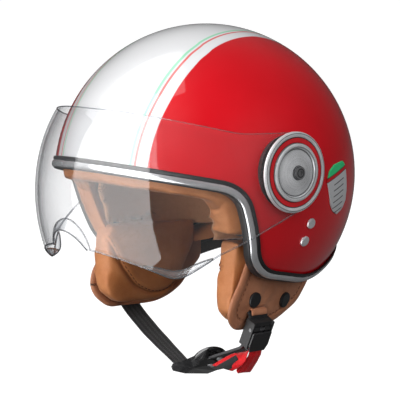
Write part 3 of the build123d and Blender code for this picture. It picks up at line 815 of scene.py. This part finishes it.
# crown lining: drawn out to the rim, and panels joined by two long seams and one across
LINING_END_Z, LINING_STRETCH = -24.0, 1.7
LINING_MARGIN, LINING_REACH = 28.0, 0.55
crown = soft_copy("crown_liner", "crown_padding", 0.4)
settle(crown, 3, 1)
rim_tree = KDTree(len(RIM))
for index, frame_here in enumerate(RIM):
    rim_tree.insert(frame_here[0], index)
rim_tree.balance()


def lining_drawn_out(place, _):
    if place.z < LINING_END_Z and place.x < 0.0:
        place = follow_shell(place, place.y, LINING_END_Z + (place.z - LINING_END_Z) * LINING_STRETCH)
    here, _, up, _ = RIM[rim_tree.find(place)[1]]
    rise = (place - here).dot(up)
    if rise < LINING_MARGIN and place.y < 20.0 and place.z > -40.0:
        place = place - up * (LINING_MARGIN - rise) * LINING_REACH * (1 - ease(place.y, -10.0, 20.0))
    return place


move_points(crown, lining_drawn_out)
LINING_AXES = (82.3, 94.3, 88.3)      # inner semi-axes of the lining


def lining_seam(plane_x, low=-28.0):
    """A seam over the crown in the plane x = plane_x, on the lining's inner face."""
    a, b, c = LINING_AXES
    level = math.sqrt(1 - (plane_x / a) ** 2)
    turns = [math.radians(t) for t in range(-80, 115, 1)]
    line = [(plane_x, b * level * math.sin(t), c * level * math.cos(t)) for t in turns]
    return [p for p in line if p[2] > low]


def lining_ring(height, front):
    a, b, c = LINING_AXES
    level = math.sqrt(1 - (height / c) ** 2)
    turns = [math.radians(t) for t in range(0, 360)]
    return [p for p in ((a * level * math.cos(t), b * level * math.sin(t), height) for t in turns)
            if p[1] > front]


lining_seams = [lining_seam(LINING_SEAM_X), lining_seam(-LINING_SEAM_X), lining_ring(34.0, -60.0)]
sew(crown, lining_seams, 2.2, 1.9, 0.7)
finish_mesh(crown, MATERIALS["lining"])
place_piece(crown, "helmet", "lining", "crown_liner")
crown_tree = tree_of(crown)
for index, seam in enumerate(lining_seams):
    offset = 2.0 if index < 2 else 0.0
    rise = 2.0 - offset
    start = [(p[0] * 0.9 + math.copysign(offset, p[0]), p[1] * 0.9, p[2] * 0.9 + rise) for p in seam]
    path = on_surface(crown_tree, start, reach=50.0)
    stitches("lining_stitching_" + "abc"[index], path, THREAD, "helmet", "lining")


# ---- leather ear flaps ----
def flap_x(y, z):
    curl = FLAP_LEAN_R - math.sqrt(FLAP_LEAN_R ** 2 - (z - FLAP_LEAN_Z) ** 2)
    return FLAP_X - FLAP_PLAN_R + math.sqrt((FLAP_PLAN_R - curl) ** 2 - (y - FLAP_PLAN_Y) ** 2)


def by_buckle(y, z):
    """1 on the patch that the buckle can swing against, and 0 away from it."""
    return ease(-z, 103.0, 107.0) * (1 - ease(abs(y - STRAP_Y), 12.0, 18.0))


def flap_relief(y, z):
    """How far the leather stands out of its smooth shape: pulled at the slot, slack elsewhere."""
    dy, dz = y - SLOT[0], z - SLOT[1]
    fold = 1.9 * math.exp(-(dy / 11.0) ** 2 - ((dz - 5.6 + 0.02 * dy * dy) / 2.6) ** 2)
    dip = -2.2 * math.exp(-(dy / 10.0) ** 2 - ((dz - 0.6) / 2.8) ** 2)
    around = math.atan2(dz, dy)
    reach = math.hypot(dy, dz)
    pull = 0.45 * math.cos(7 * around + 0.6) * math.exp(-((reach - 17.0) / 9.0) ** 2)
    slack = 0.7 * noise.noise(Vector((y / 26.0, z / 26.0, 1.7)))
    buckle = by_buckle(y, z)
    return (fold + dip + pull + slack) * (1 - buckle) - 0.5 * buckle


FLAP_EDGE = [  # distance in from the edge and height over the leather: rolled binding, groove, panel
    (13.0, 0.0), (9.5, 0.0), (8.4, -0.1), (7.7, -0.55), (7.1, -0.1), (6.2, 0.75), (4.6, 1.0), (2.8, 0.95),
    (1.2, 0.45), (0.3, -0.4), (0.0, -1.2),
]


def flap_mesh(side, sign):
    shift = PAD_SHIFT[side]
    corners = [(-30, -58), (-45 + shift, -90), (-46.5 + shift, -105), (-35 + shift * 0.7, -117), (12, -116.5),
               (46, -103), (66, -80), (67, -62), (38, -61), (30, -58)]
    corners = [(y if y < 30 else y + shift * 1.4, z) for y, z in corners]
    outline = rounded(corners, [30, 17, 17, 60, 30, 14, 6, 6])
    outline = [Vector(p) for p in resample([(*p, 0.0) for p in outline], 1.6, closed=True)]
    middle = Vector((8.0 + shift * 0.3, -86.0, 0.0))
    count = len(outline)
    inward = []
    for i, point in enumerate(outline):
        along = (outline[(i + 3) % count] - outline[i - 3]).normalized()
        normal = Vector((-along.y, along.x, 0.0))
        inward.append(normal if normal.dot(middle - point) > 0 else -normal)

    def ring(distance, height, share=0.0):
        points = []
        for point, normal in zip(outline, inward):
            place = (point + normal * distance).lerp(middle, share)
            y, z = place.x, place.y
            raised = height * (1 - 0.9 * by_buckle(y, z))
            points.append((sign * (flap_x(y, z) + flap_relief(y, z) + raised), y, z))
        return points

    inner = 13.0
    shares = [1.0 - k / 26 for k in range(1, 26)]
    rings = [ring(inner, 0.0, s) for s in shares]
    rings += [ring(d, h) for d, h in FLAP_EDGE]
    rings += [ring(d, -h - FLAP_LEATHER) for d, h in reversed(FLAP_EDGE[5:-1])]
    rings += [ring(inner, -FLAP_LEATHER)] + [ring(inner, -FLAP_LEATHER, s) for s in reversed(shares)]
    flap = skin("ear_flap_leather_" + side, rings, FLAP_SKIN)
    corners = ((-1, -1), (1, -1), (1, 1), (-1, 1))
    slot_rings = [[(sign * x, SLOT[0] + a * 9.5, SLOT[1] + 0.4 + b * 1.3) for a, b in corners]
                  for x in (74.0, 90.0)]
    cutter = skin("cutter", slot_rings, FLAP_SKIN)
    cut = flap.modifiers.new("slot", "BOOLEAN")
    cut.operation = "DIFFERENCE"
    cut.solver = "EXACT"
    cut.object = cutter
    bake(flap)
    bpy.data.objects.remove(cutter)
    finish_mesh(flap, FLAP_SKIN)
    stitch_line = ring(8.9, 0.0)
    low = [(*p, sign, 0.0, 0.0) for p in stitch_line if p[2] < -64.0 and p[1] < 60.0]
    return flap, low


for side, sign in SIDES.items():
    flap, stitch_line = flap_mesh(side, sign)
    place_piece(flap, "helmet", "flap_leather", "ear_flap_" + side)
    last_first = stitch_line[-1:] + stitch_line
    gaps = [math.dist(here[:3], before[:3]) for here, before in zip(stitch_line, last_first)]
    first = next((i for i, gap in enumerate(gaps) if gap > 6.0), 0)
    stitch_line = stitch_line[first:] + stitch_line[:first]
    stitches("flap_stitching_" + side, stitch_line, THREAD, "helmet", "flap_leather", pitch=4.4, length=2.6,
             radius=0.26, lift=0.05)


# ---- straps ----
def woven(obj, profile, pitch):
    """Adds the UV map that webbing() reads to a profile swept in rings, pitch apart."""
    layer = obj.data.uv_layers.new(name="weave")
    for loop in obj.data.loops:
        ring_index, k = divmod(loop.vertex_index, len(profile))
        layer.data[loop.index].uv = (ring_index * pitch * MM, profile[k][0] * MM)
    return obj


def strap(name, path, width, thickness, material):
    """Flat woven strap along a fine (x, z) path, with its width along Y and rounded selvedges."""
    pitch = 1.5
    marks = resample([(x, 0.0, z) for x, z in path], pitch)
    half, edge = width / 2, thickness / 2
    profile = [(half, 0.0), (half - 0.25 * edge, 0.6 * edge), (half - edge, edge), (half - 2.4, edge * 0.92)]
    profile += [(half * s, edge) for s in (0.5, 0.0, -0.5)]
    profile += [(-w, h) for w, h in reversed(profile[:4])]
    profile += [(w, -h) for w, h in reversed(profile[1:-1])]
    rings, along = [], 0.0
    for i, mark in enumerate(marks):
        here = Vector(mark)
        ahead = (Vector(marks[min(i + 1, len(marks) - 1)]) - Vector(marks[max(i - 1, 0)])).normalized()
        out = Vector((-ahead.z, 0.0, ahead.x))
        sway = 0.35 * noise.noise(Vector((along / 18.0, width, 0.3)))
        rings.append([here + Vector((0.0, STRAP_Y + w, 0.0)) + out * (h + sway) for w, h in profile])
        along += pitch
    return woven(skin(name, rings, material), profile, pitch)


BUCKLE_TILT = math.radians(24.8)
ALONG = Vector((-math.sin(BUCKLE_TILT), 0.0, -math.cos(BUCKLE_TILT)))
OUTWARD = Vector((math.cos(BUCKLE_TILT), 0.0, -math.sin(BUCKLE_TILT)))
BUCKLE_ORIGIN = Vector((85.2, STRAP_Y, -107.0))


def buckle_point(t, n):
    point = BUCKLE_ORIGIN + ALONG * t + OUTWARD * n
    return point.x, point.z


TWIST = math.radians(30)
AXIS_LINE = [(-200.0, -40.0), (-76.0, -120.2), (-52.0, -136.0), (-8.0, -159.3), (2.0, -161.7), (90.0, -124.4)]


def axis_height(x):
    for (x0, z0), (x1, z1) in zip(AXIS_LINE, AXIS_LINE[1:]):
        if x <= x1:
            break
    return lerp(z0, z1, (x - x0) / (x1 - x0))


def twisted(place, _):
    """Turns the strap's free end to the front about its own line, as the hanging strap does."""
    turn = TWIST * ease(-place.x, -68.0, -50.0) * (1 - 0.75 * ease(-place.x, -38.0, -14.0))
    turn *= 1 - ease(-place.x, 8.0, 50.0)
    on_axis = Vector((place.x, STRAP_Y, axis_height(place.x)))
    ahead = Vector((-6.0, 0.0, axis_height(place.x - 3.0) - axis_height(place.x + 3.0))).normalized()
    return on_axis + Quaternion(ahead, turn) @ (place - on_axis)


def twisted_copy(node, width, slot):
    """The CAD piece with moulded edges, turned with the strap."""
    obj = copy_of(node, node + "_hung")
    round_edges(obj, width)
    bake(obj)
    move_points(obj, twisted)
    place_piece(obj, "tongue", slot, node)


twisted_copy("ratchet_strip", 0.3, "strip_plastic")
twisted_copy("strip_rivets", 0.35, "rivet_metal")
twisted_copy("slider_base", 1.6, "gloss_black")

# the slider's oval loop stands on its base
LOOP_LIFT = 6.6
LOOP_MIDDLE = Vector((23.0, STRAP_Y - 1.0, axis_height(23.0) + LOOP_LIFT))
LOOP_UP = Vector((0.39, 0.0, 0.92))
LOOP_SECTION = [(-2.6, -3.6), (-2.6, 0.6), (-1.6, 1.7), (0.4, 1.9), (1.8, 1.0), (2.3, -0.8), (2.3, -3.6)]
loop_rings = []
for k in range(48):
    angle = 2 * math.pi * k / 48
    x = LOOP_MIDDLE.x + 11.5 * math.cos(angle)
    z = axis_height(x) + LOOP_LIFT + 0.8 * math.cos(angle)
    here = Vector((x, LOOP_MIDDLE.y + 9.5 * math.sin(angle), z))
    away = (here - LOOP_MIDDLE).normalized()
    loop_rings.append([here + away * w + LOOP_UP * h for w, h in LOOP_SECTION])
slider_loop = skin("slider_loop", loop_rings, MATERIALS["gloss_black"], loop=True)
move_points(slider_loop, twisted)
place_piece(slider_loop, "tongue", "gloss_black")

long_path = rounded([(-76.5, -99.5), (-82.2, -104.5), (-82.2, -114), (-76, -120.2), (-52, -136), (-8, -159.3),
                     (2, -161)], [4, 8, 40, 100, 30])
long_strap = strap("chin_webbing_long", long_path, STRAP_W, STRAP_T, MATERIALS["webbing"])
move_points(long_strap, twisted)
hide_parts("chin_strap_long")
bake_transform(long_strap)

short_path = rounded([(77.0, -99.0), (82.6, -103.6), (82.6, -107.5), buckle_point(4.4, -0.3)], [3, 10])
short_strap = strap("chin_webbing_short", short_path, STRAP_W, STRAP_T, MATERIALS["webbing"])
place_piece(short_strap, "chin_strap", "webbing", "chin_strap_short")

for side, sign in SIDES.items():
    fold = rounded([(sign * 76.0, -99.6), (sign * 83.9, -100.0), (sign * 84.4, -104.6)], [1.6], 0.3)
    tab = strap("slot_leather_" + side, fold, 16.0, 1.8, FLAP_SKIN)
    place_piece(tab, "helmet", "flap_leather", "slot_tab_" + side)


# ---- red pull: a folded red ribbon, with a black strip as painted shade inside the loop ----
def flat_band(name, line, across, half, thickness, material, slant=0.0):
    """Ribbon along a 3-D line whose width lies along the given direction at each end."""
    edge = thickness / 2
    section = [(half, 0.0), (half - edge, edge), (0.0, edge * 1.1), (-half + edge, edge), (-half, 0.0),
               (-half + edge, -edge), (0.0, -edge * 1.1), (half - edge, -edge)]
    rings, last = [], len(line) - 1
    for i, point in enumerate(line):
        ahead = (Vector(line[min(i + 1, last)]) - Vector(line[max(i - 1, 0)])).normalized()
        wide = across[0].lerp(across[1], i / last)
        wide = (wide - ahead * wide.dot(ahead)).normalized()
        out = ahead.cross(wide)
        skew = ahead * slant * (i / last) ** 2
        rings.append([Vector(point) + (wide + skew) * w + out * h for w, h in section])
    return woven(skin(name, rings, material), section, 1.0)


RIBBON = MATERIALS["red_ribbon"]
front_leg = resample([(79.0, -15, -129.0), (80.9, -15, -132.5), (79.6, -15.3, -138.0), (75.6, -16.0, -144.5),
                      (70.6, -16.6, -151.0), (68.6, -17.0, -153.4), (67.9, -16.8, -152.3),
                      (69.4, -16.4, -149.0)], 1.0)
level = Vector((0, 1, 0)), Vector((0.25, 1, 0))
front = flat_band("pull_ribbon_front", front_leg, level, 6.6, 1.1, RIBBON)
place_piece(front, "release_lever", "red_ribbon", "pull_ribbon")
back_leg = resample([(79.6, -16, -130.0), (77.6, -18.5, -133.5), (73.0, -24.5, -140.0), (66.0, -31.5, -146.0),
                     (62.6, -35.0, -149.0)], 1.0)
down = Vector((-0.41, -0.54, 0.73))
back = flat_band("pull_ribbon_back", back_leg, (Vector((0, 1, 0.2)), down), 6.4, 1.0, RIBBON, 0.9)
# painted shade: a black strip along the back leg stands for the shaded inside of the loop
shade_strip_leg = [Vector(p) + Vector((0.62, -0.45, 0.0)) for p in back_leg[17:]]
inner = flat_band("pull_ribbon_shade_strip", shade_strip_leg, (down, down), 4.0, 0.5, MATERIALS["webbing"], 0.9)
place_piece(back, "release_lever", "red_ribbon")
place_piece(inner, "release_lever", "webbing")

# ---- edge trim: a wrapped rubber profile with a half round bead in it ----
RUBBER_PROFILE = [
    (8.0, 0.15), (8.0, 0.9), (7.7, 1.4), (7.1, 1.6), (6.2, 1.6), (5.0, 1.35), (4.6, 0.7), (-0.9, 0.7),
    (-1.1, 0.9), (-1.3, 0.9), (-1.6, 0.7), (-1.9, 0.4), (-2.0, 0.0), (-2.0, -4.4), (-1.7, -5.0),
    (-1.1, -5.4), (6.6, -5.4), (7.4, -5.2), (7.8, -4.7), (7.8, -4.15), (0.25, -4.15), (0.25, 0.15),
]
rubber = sweep_rim("trim_rubber_profile", RUBBER_PROFILE, MATERIALS["trim_rubber"])
place_piece(rubber, "helmet", "trim_rubber", "edge_trim_rubber")
BEAD_MIDDLE, BEAD_HALF, BEAD_FOOT, BEAD_HEIGHT = 1.8, 2.8, 0.75, 1.85
bead_profile = [(BEAD_MIDDLE + BEAD_HALF * math.cos(t), BEAD_FOOT + BEAD_HEIGHT * math.sin(t) ** 0.8)
                for t in (math.pi * k / 12 for k in range(13))]
bead = sweep_rim("trim_bead", bead_profile, MATERIALS["trim_chrome"])
place_piece(bead, "helmet", "trim_chrome", "edge_trim_chrome")


# ---- visor: edge, nose flare and rolled lobes ----
def bubble_k(y, z):
    """Section scale of the visor's bubble at a side view point."""
    dy, dz = y - PIVOT[0], z - PIVOT[1]
    ay, az = BUBBLE[0] - PIVOT[0], BUBBLE[1] - PIVOT[1]
    a = ay * ay + az * az - BUBBLE_R ** 2
    b = -2 * (dy * ay + dz * az)
    return (-b - math.sqrt(b * b - 4 * a * (dy * dy + dz * dz))) / (2 * a)


def bubble_x(y, z):
    k = bubble_k(y, z)
    return BUBBLE_X * math.sqrt(max(0.0, 1 - k * k))


def bubble_y(x, z):
    k = math.sqrt(1 - (x / BUBBLE_X) ** 2)
    cy, cz = lerp(PIVOT[0], BUBBLE[0], k), lerp(PIVOT[1], BUBBLE[1], k)
    return cy - math.sqrt((k * BUBBLE_R) ** 2 - (z - cz) ** 2)


def bubble_normal(x, z):
    slope_x = bubble_y(x + 0.5, z) - bubble_y(x - 0.5, z)
    slope_z = bubble_y(x, z + 0.5) - bubble_y(x, z - 0.5)
    return Vector((slope_x, -1.0, slope_z)).normalized()


# painted shade: the grey tints of these edge, lip and line pieces paint the dark look of the visor's thick
# edges and folds
LIP_GLASS = clear("visor_lip", (0.93, 0.935, 0.94), (0.45, 0.46, 0.49), 0.10, 1.3, curve=2.0)
LINE_GLASS = clear("visor_line", (0.50, 0.51, 0.53), (0.16, 0.16, 0.17), 0.10, 1.0, curve=1.5)
EDGE_GLASS = clear("visor_edge", (0.80, 0.81, 0.83), (0.30, 0.31, 0.33), 0.06, 1.2, curve=1.6)
top_plan = rounded([(PIVOT[0], PIVOT[1] + 30.9), (-60, 44.6), (-118, 59.8), (-160, 66)], [60, 60], 2.0)
low_plan = rounded([(-160, -38), (-97, -70.5), (-74, -49.5), (-36, -29.5), (PIVOT[0] + 6, PIVOT[1] - 30.3)],
                   [11, 30, 60], 1.0)


def bubble_edge(plan, least_x):
    """A side view line laid on the bubble, on the wearer's left, from x = least_x outwards."""
    line = []
    for y, _, z in resample([(p[0], 0.0, p[1]) for p in plan], 1.0):
        if bubble_k(y, z) < 1.0 and bubble_x(y, z) > least_x:
            line.append((bubble_x(y, z) - 0.6, y, z))
    return line


def both_sides(line):
    """From the wearer's left lug over the front to the right one; line starts at the front."""
    back_first = sorted(line, key=lambda p: -p[0])
    return back_first + [(-x, y, z) for x, y, z in reversed(back_first)]


def on_visor(obj):
    place_piece(obj, "visor", "visor_clear")


on_visor(tube("visor_top_edge", resample(both_sides(bubble_edge(top_plan, 0.5)), 2.0), 0.5, EDGE_GLASS, 8))
low_left = bubble_edge(low_plan, NOSE_HALF)
for side, sign in SIDES.items():
    line = [(sign * x, y, z) for x, y, z in low_left]
    on_visor(tube("visor_low_edge_" + side, resample(line, 1.5), 0.75, EDGE_GLASS, 8))

# the nose arch's lip turns out and away from the face
ARCH_MIDDLE_Z = -50.0
FLARE_REACH, FLARE_T = 9.0, 1.6
FLARE_SECTION = [(0.0, 0.0), (0.3, 0.3), (0.6, 1.2), (0.85, 2.7), (1.0, 4.2)]      # share of reach, lift
flare = []
for i in range(61):
    t = math.radians(4 + 172 * i / 60)
    x = (NOSE_HALF - 0.3) * math.cos(t)
    z = ARCH_MIDDLE_Z + (NOSE_TOP - ARCH_MIDDLE_Z + 0.3) * math.sin(t)
    start = Vector((x, bubble_y(x, z) + 1.0, z))
    normal = bubble_normal(x, z)
    toward = Vector((-math.cos(t), 0.0, -math.sin(t) * 0.9))
    toward = (toward - normal * toward.dot(normal)).normalized()
    size = FLARE_REACH * math.sin(t) ** 0.7 + 1.0
    section = [start + toward * size * share * 0.9 + normal * lift * size / FLARE_REACH
               for share, lift in FLARE_SECTION]
    lip = section[-1] + normal * 0.9 - toward * 0.5
    outer = [p + normal * FLARE_T for p in reversed(section[:-1])]
    flare.append([*section, lip, *outer])
on_visor(skin("visor_nose_flare", flare, LIP_GLASS))
on_visor(tube("visor_nose_edge", [ring[len(FLARE_SECTION)] for ring in flare], 0.55, LINE_GLASS, 8))
on_visor(tube("visor_arch_crease", [ring[0] for ring in flare], 0.5, EDGE_GLASS, 8))

# the lobes beside the arch roll inwards
LOBE_Y = (-119.0, -77.0)
LOBE_SIZE = 6.2
INWARD, RISE = Vector((-0.62, 0.62, 0.0)), Vector((-0.1, 0.05, 1.0))
LOBE_TURNS = [math.radians(d) for d in (0, 22, 45, 68, 90)]
lobe_plan = [p for p in low_left if LOBE_Y[0] < p[1] < LOBE_Y[1]]
for side, sign in SIDES.items():
    rings = []
    for i, (x, y, z) in enumerate(lobe_plan):
        size = LOBE_SIZE * math.sin(math.pi * i / (len(lobe_plan) - 1)) ** 0.8 + 0.4
        base = Vector((x, y, z))
        section = [base + INWARD * size * math.sin(a) * 0.8 + RISE * size * 0.75 * (1 - math.cos(a))
                   for a in LOBE_TURNS]
        section += [p + Vector((-0.6, 0.6, 0.9)) for p in reversed(section)]
        rings.append([(sign * p.x, p.y, p.z) for p in section])
    on_visor(skin("visor_lobe_roll_" + side, rings, LIP_GLASS))
    for k, label in ((0, "outer"), (4, "inner")):
        line = [ring[k] for ring in rings]
        on_visor(tube("visor_lobe_line_%s_%s" % (label, side), line, 0.45, LINE_GLASS, 6))

# ---- small CAD pieces get moulded edges ----
for node, width in (("buckle_receiver", 0.5), ("release_lever", 0.45), ("lever_pin", 0.3)):
    round_edges(nodes[node], width)

# medallion: lower steps than the turned blanks, so that the red ring shows all round
MEDAL_X = 121.2
MEDAL_STEPS = [("medallion_inner", 0.62, 0.0), ("medallion_disc", 0.72, 0.0), ("pivot_screw", 0.82, 0.0),
               ("medallion_red", 1.0, 0.6)]      # share of the height kept, and extra width of the ring
for stem, kept, wider in MEDAL_STEPS:
    for side, sign in SIDES.items():
        node = stem + "_" + side
        piece = copy_of(node, stem + "_seen_" + side)
        for vertex in piece.data.vertices:
            over = abs(vertex.co.x) / MM - MEDAL_X
            if over > 0.0:
                vertex.co.x = sign * (MEDAL_X + over * kept) * MM
            arm = Vector((0.0, vertex.co.y - PIVOT[0] * MM, vertex.co.z - PIVOT[1] * MM))
            if wider and arm.length > 0.0:
                vertex.co += arm.normalized() * math.copysign(wider, arm.length / MM - RED_RING_R) * MM
        round_edges(piece, 0.25)
        place_piece(piece, "helmet", SLOTS[node], node)

# the pivot's spacer narrows towards the shell
SPACER_FACE_X, SPACER_TAPER = 119.0, 0.012
for side in SIDES:
    spacer = copy_of("pivot_base_" + side, "pivot_spacer_" + side)
    for vertex in spacer.data.vertices:
        dy, dz = vertex.co.y - PIVOT[0] * MM, vertex.co.z - PIVOT[1] * MM
        if math.hypot(dy, dz) > 15.0 * MM:
            depth = SPACER_FACE_X - abs(vertex.co.x) / MM
            share = 1.0 - SPACER_TAPER * max(0.0, depth)
            vertex.co.y, vertex.co.z = PIVOT[0] * MM + dy * share, PIVOT[1] * MM + dz * share
    round_edges(spacer, 0.6)
    place_piece(spacer, "helmet", "black_plastic", "pivot_base_" + side)

# badge: a plain shield shaped plaque laid on the shell
BADGE_EDGE = [(27.2, 2.6), (30.5, 10.5), (38.0, 15.2), (53.0, 17.2), (57.5, 13.0), (59.5, -4.0),
              (59.3, -15.5), (54.5, -22.0), (46.0, -26.0), (38.5, -22.5), (33.5, -16.5), (30.5, -7.0),
              (27.2, 2.6)]
BADGE_MIDDLE = (44.5, -3.0)
badge_line = rounded(BADGE_EDGE, [4, 5, 2, 2, 6, 5, 5, 3, 5, 5, 6])[:-1]
badge_line = resample([(*q, 0.0) for q in badge_line], 1.2, closed=True)
for side, sign in SIDES.items():
    badge_rings = []
    for share, height in ((0.0, 0.05), (0.0, 0.7), (0.03, 1.0), *((k / 14, 1.0) for k in range(1, 14))):
        ring = []
        for q in badge_line:
            y, z = lerp(q[0], BADGE_MIDDLE[0], share), lerp(q[1], BADGE_MIDDLE[1], share)
            point = Vector((shell_x(y, z), y, z))
            point += shell_normal(point) * height
            ring.append((sign * point.x, point.y, point.z))
        badge_rings.append(ring)
    plaque = skin("badge_plaque_" + side, badge_rings, MATERIALS["badge_metal"])
    place_piece(plaque, "helmet", "badge_metal", "badge_" + side)

# thumb plate of the release lever, over the receiver's walls
plate_corners = []
for n, inset in ((7.0, 0.0), (8.8, 0.4)):
    for t, w in ((8.8 + inset, -10.2 + inset), (8.8 + inset, 10.2 - inset), (21.0, 10.4 - inset),
                 (27.0 - inset, 8.2 - inset), (27.0 - inset, -8.2 + inset), (21.0, -10.4 + inset)):
        x, z = buckle_point(t, n)
        plate_corners.append((x, STRAP_Y + w, z))
plate_faces = [(5, 4, 3, 2, 1, 0), (6, 7, 8, 9, 10, 11)]
plate_faces += [(k, (k + 1) % 6, (k + 1) % 6 + 6, k + 6) for k in range(6)]
plate = make_mesh("lever_thumb_plate", plate_corners, plate_faces, MATERIALS["black_plastic"])
for face in plate.data.polygons:
    face.use_smooth = False
round_edges(plate, 0.8)
place_piece(plate, "release_lever", "black_plastic")

# ---- stage, light and camera ----
FLOOR_Z = -0.21
bpy.ops.mesh.primitive_plane_add(size=400, location=(0, 0, FLOOR_Z))
floor = bpy.context.object
floor.name = "floor"
floor_look = Material("floor")
grit = floor_look.noise(3.0, 3.0)
grey = floor_look.mix(grit, (0.20, 0.20, 0.203), (0.22, 0.22, 0.22))
floor.data.materials.append(floor_look.set(Base_Color=grey, Roughness=0.8, Emission_Color=(1, 1, 1),
                                           Emission_Strength=1.0, Specular_IOR_Level=0.0))
floor.visible_glossy = False
floor.visible_diffuse = False

world = bpy.data.worlds.new("studio")
scene.world = world
world.use_nodes = True
sky = Nodes(world.node_tree)
direction = sky.add("ShaderNodeTexCoord").outputs["Generated"]
height = sky.times(sky.plus(sky.axes(direction)["Z"], 1.0), 0.5)
SKY_LEVELS = [(0.0, 0.10), (0.42, 0.12), (0.52, 0.06), (0.7, 0.07), (1.0, 0.14)]      # by height, 0 to 1
tones = sky.ramp(height, *((at, (level, level, level * 1.01)) for at, level in SKY_LEVELS))
sky.feed(world.node_tree.nodes["Background"].inputs["Color"], tones)


def spherical(azimuth, elevation, distance):
    a, e = math.radians(azimuth), math.radians(elevation)
    return Vector((math.sin(a) * math.cos(e), -math.cos(a) * math.cos(e), math.sin(e))) * distance


def softbox(name, azimuth, elevation, distance, width, height, power, diffuse=True, glossy=True, roll=0.0):
    lamp = bpy.data.lights.new(name, "AREA")
    lamp.shape = "RECTANGLE"
    lamp.size, lamp.size_y = width, height
    lamp.energy = power
    obj = bpy.data.objects.new(name, lamp)
    obj.location = spherical(azimuth, elevation, distance)
    obj.rotation_mode = "QUATERNION"
    facing = -obj.location
    turned = Quaternion(facing.normalized(), math.radians(roll))
    obj.rotation_quaternion = turned @ facing.to_track_quat("-Z", "Y")
    obj.visible_diffuse, obj.visible_glossy = diffuse, glossy
    scene.collection.objects.link(obj)


VIEW_AZIMUTH, VIEW_ELEVATION, VIEW_ROLL, VIEW_DISTANCE = 48.81, 6.22, 0.53, 1.906
softbox("key", VIEW_AZIMUTH - 30, 40, 2.0, 1.2, 1.2, 30, glossy=False)
softbox("fill", VIEW_AZIMUTH + 50, 20, 2.0, 1.6, 1.6, 14, glossy=False)
softbox("card_front", VIEW_AZIMUTH - 58, 2, 1.5, 1.87, 4.6, 120, diffuse=False, roll=-16)
softbox("back", VIEW_AZIMUTH + 178, 35, 2.2, 1.8, 1.8, 22, glossy=False)
softbox("front_low", VIEW_AZIMUTH - 45, -4, 1.8, 1.2, 0.9, 23, glossy=False)
softbox("card_top", VIEW_AZIMUTH - 88, 58, 1.6, 1.4, 1.4, 12, diffuse=False)

camera = bpy.data.cameras.new("camera")
camera.sensor_width = 36.0
camera.lens = 207.5
view = bpy.data.objects.new("camera", camera)
scene.collection.objects.link(view)
back_axis = spherical(VIEW_AZIMUTH, VIEW_ELEVATION, 1.0)
right_axis = spherical(VIEW_AZIMUTH + 90, 0.0, 1.0)
up_axis = back_axis.cross(right_axis)
AIM_RIGHT, AIM_DOWN = -0.0043, 0.0213   # the picture's centre, from the frame's origin
aim = right_axis * AIM_RIGHT - up_axis * AIM_DOWN
view.location = back_axis * VIEW_DISTANCE
view.rotation_euler = (aim - view.location).to_track_quat("-Z", "Y").to_euler()
view.rotation_euler.rotate_axis("Z", math.radians(VIEW_ROLL))
scene.camera = view
scene.view_settings.view_transform = "Standard"
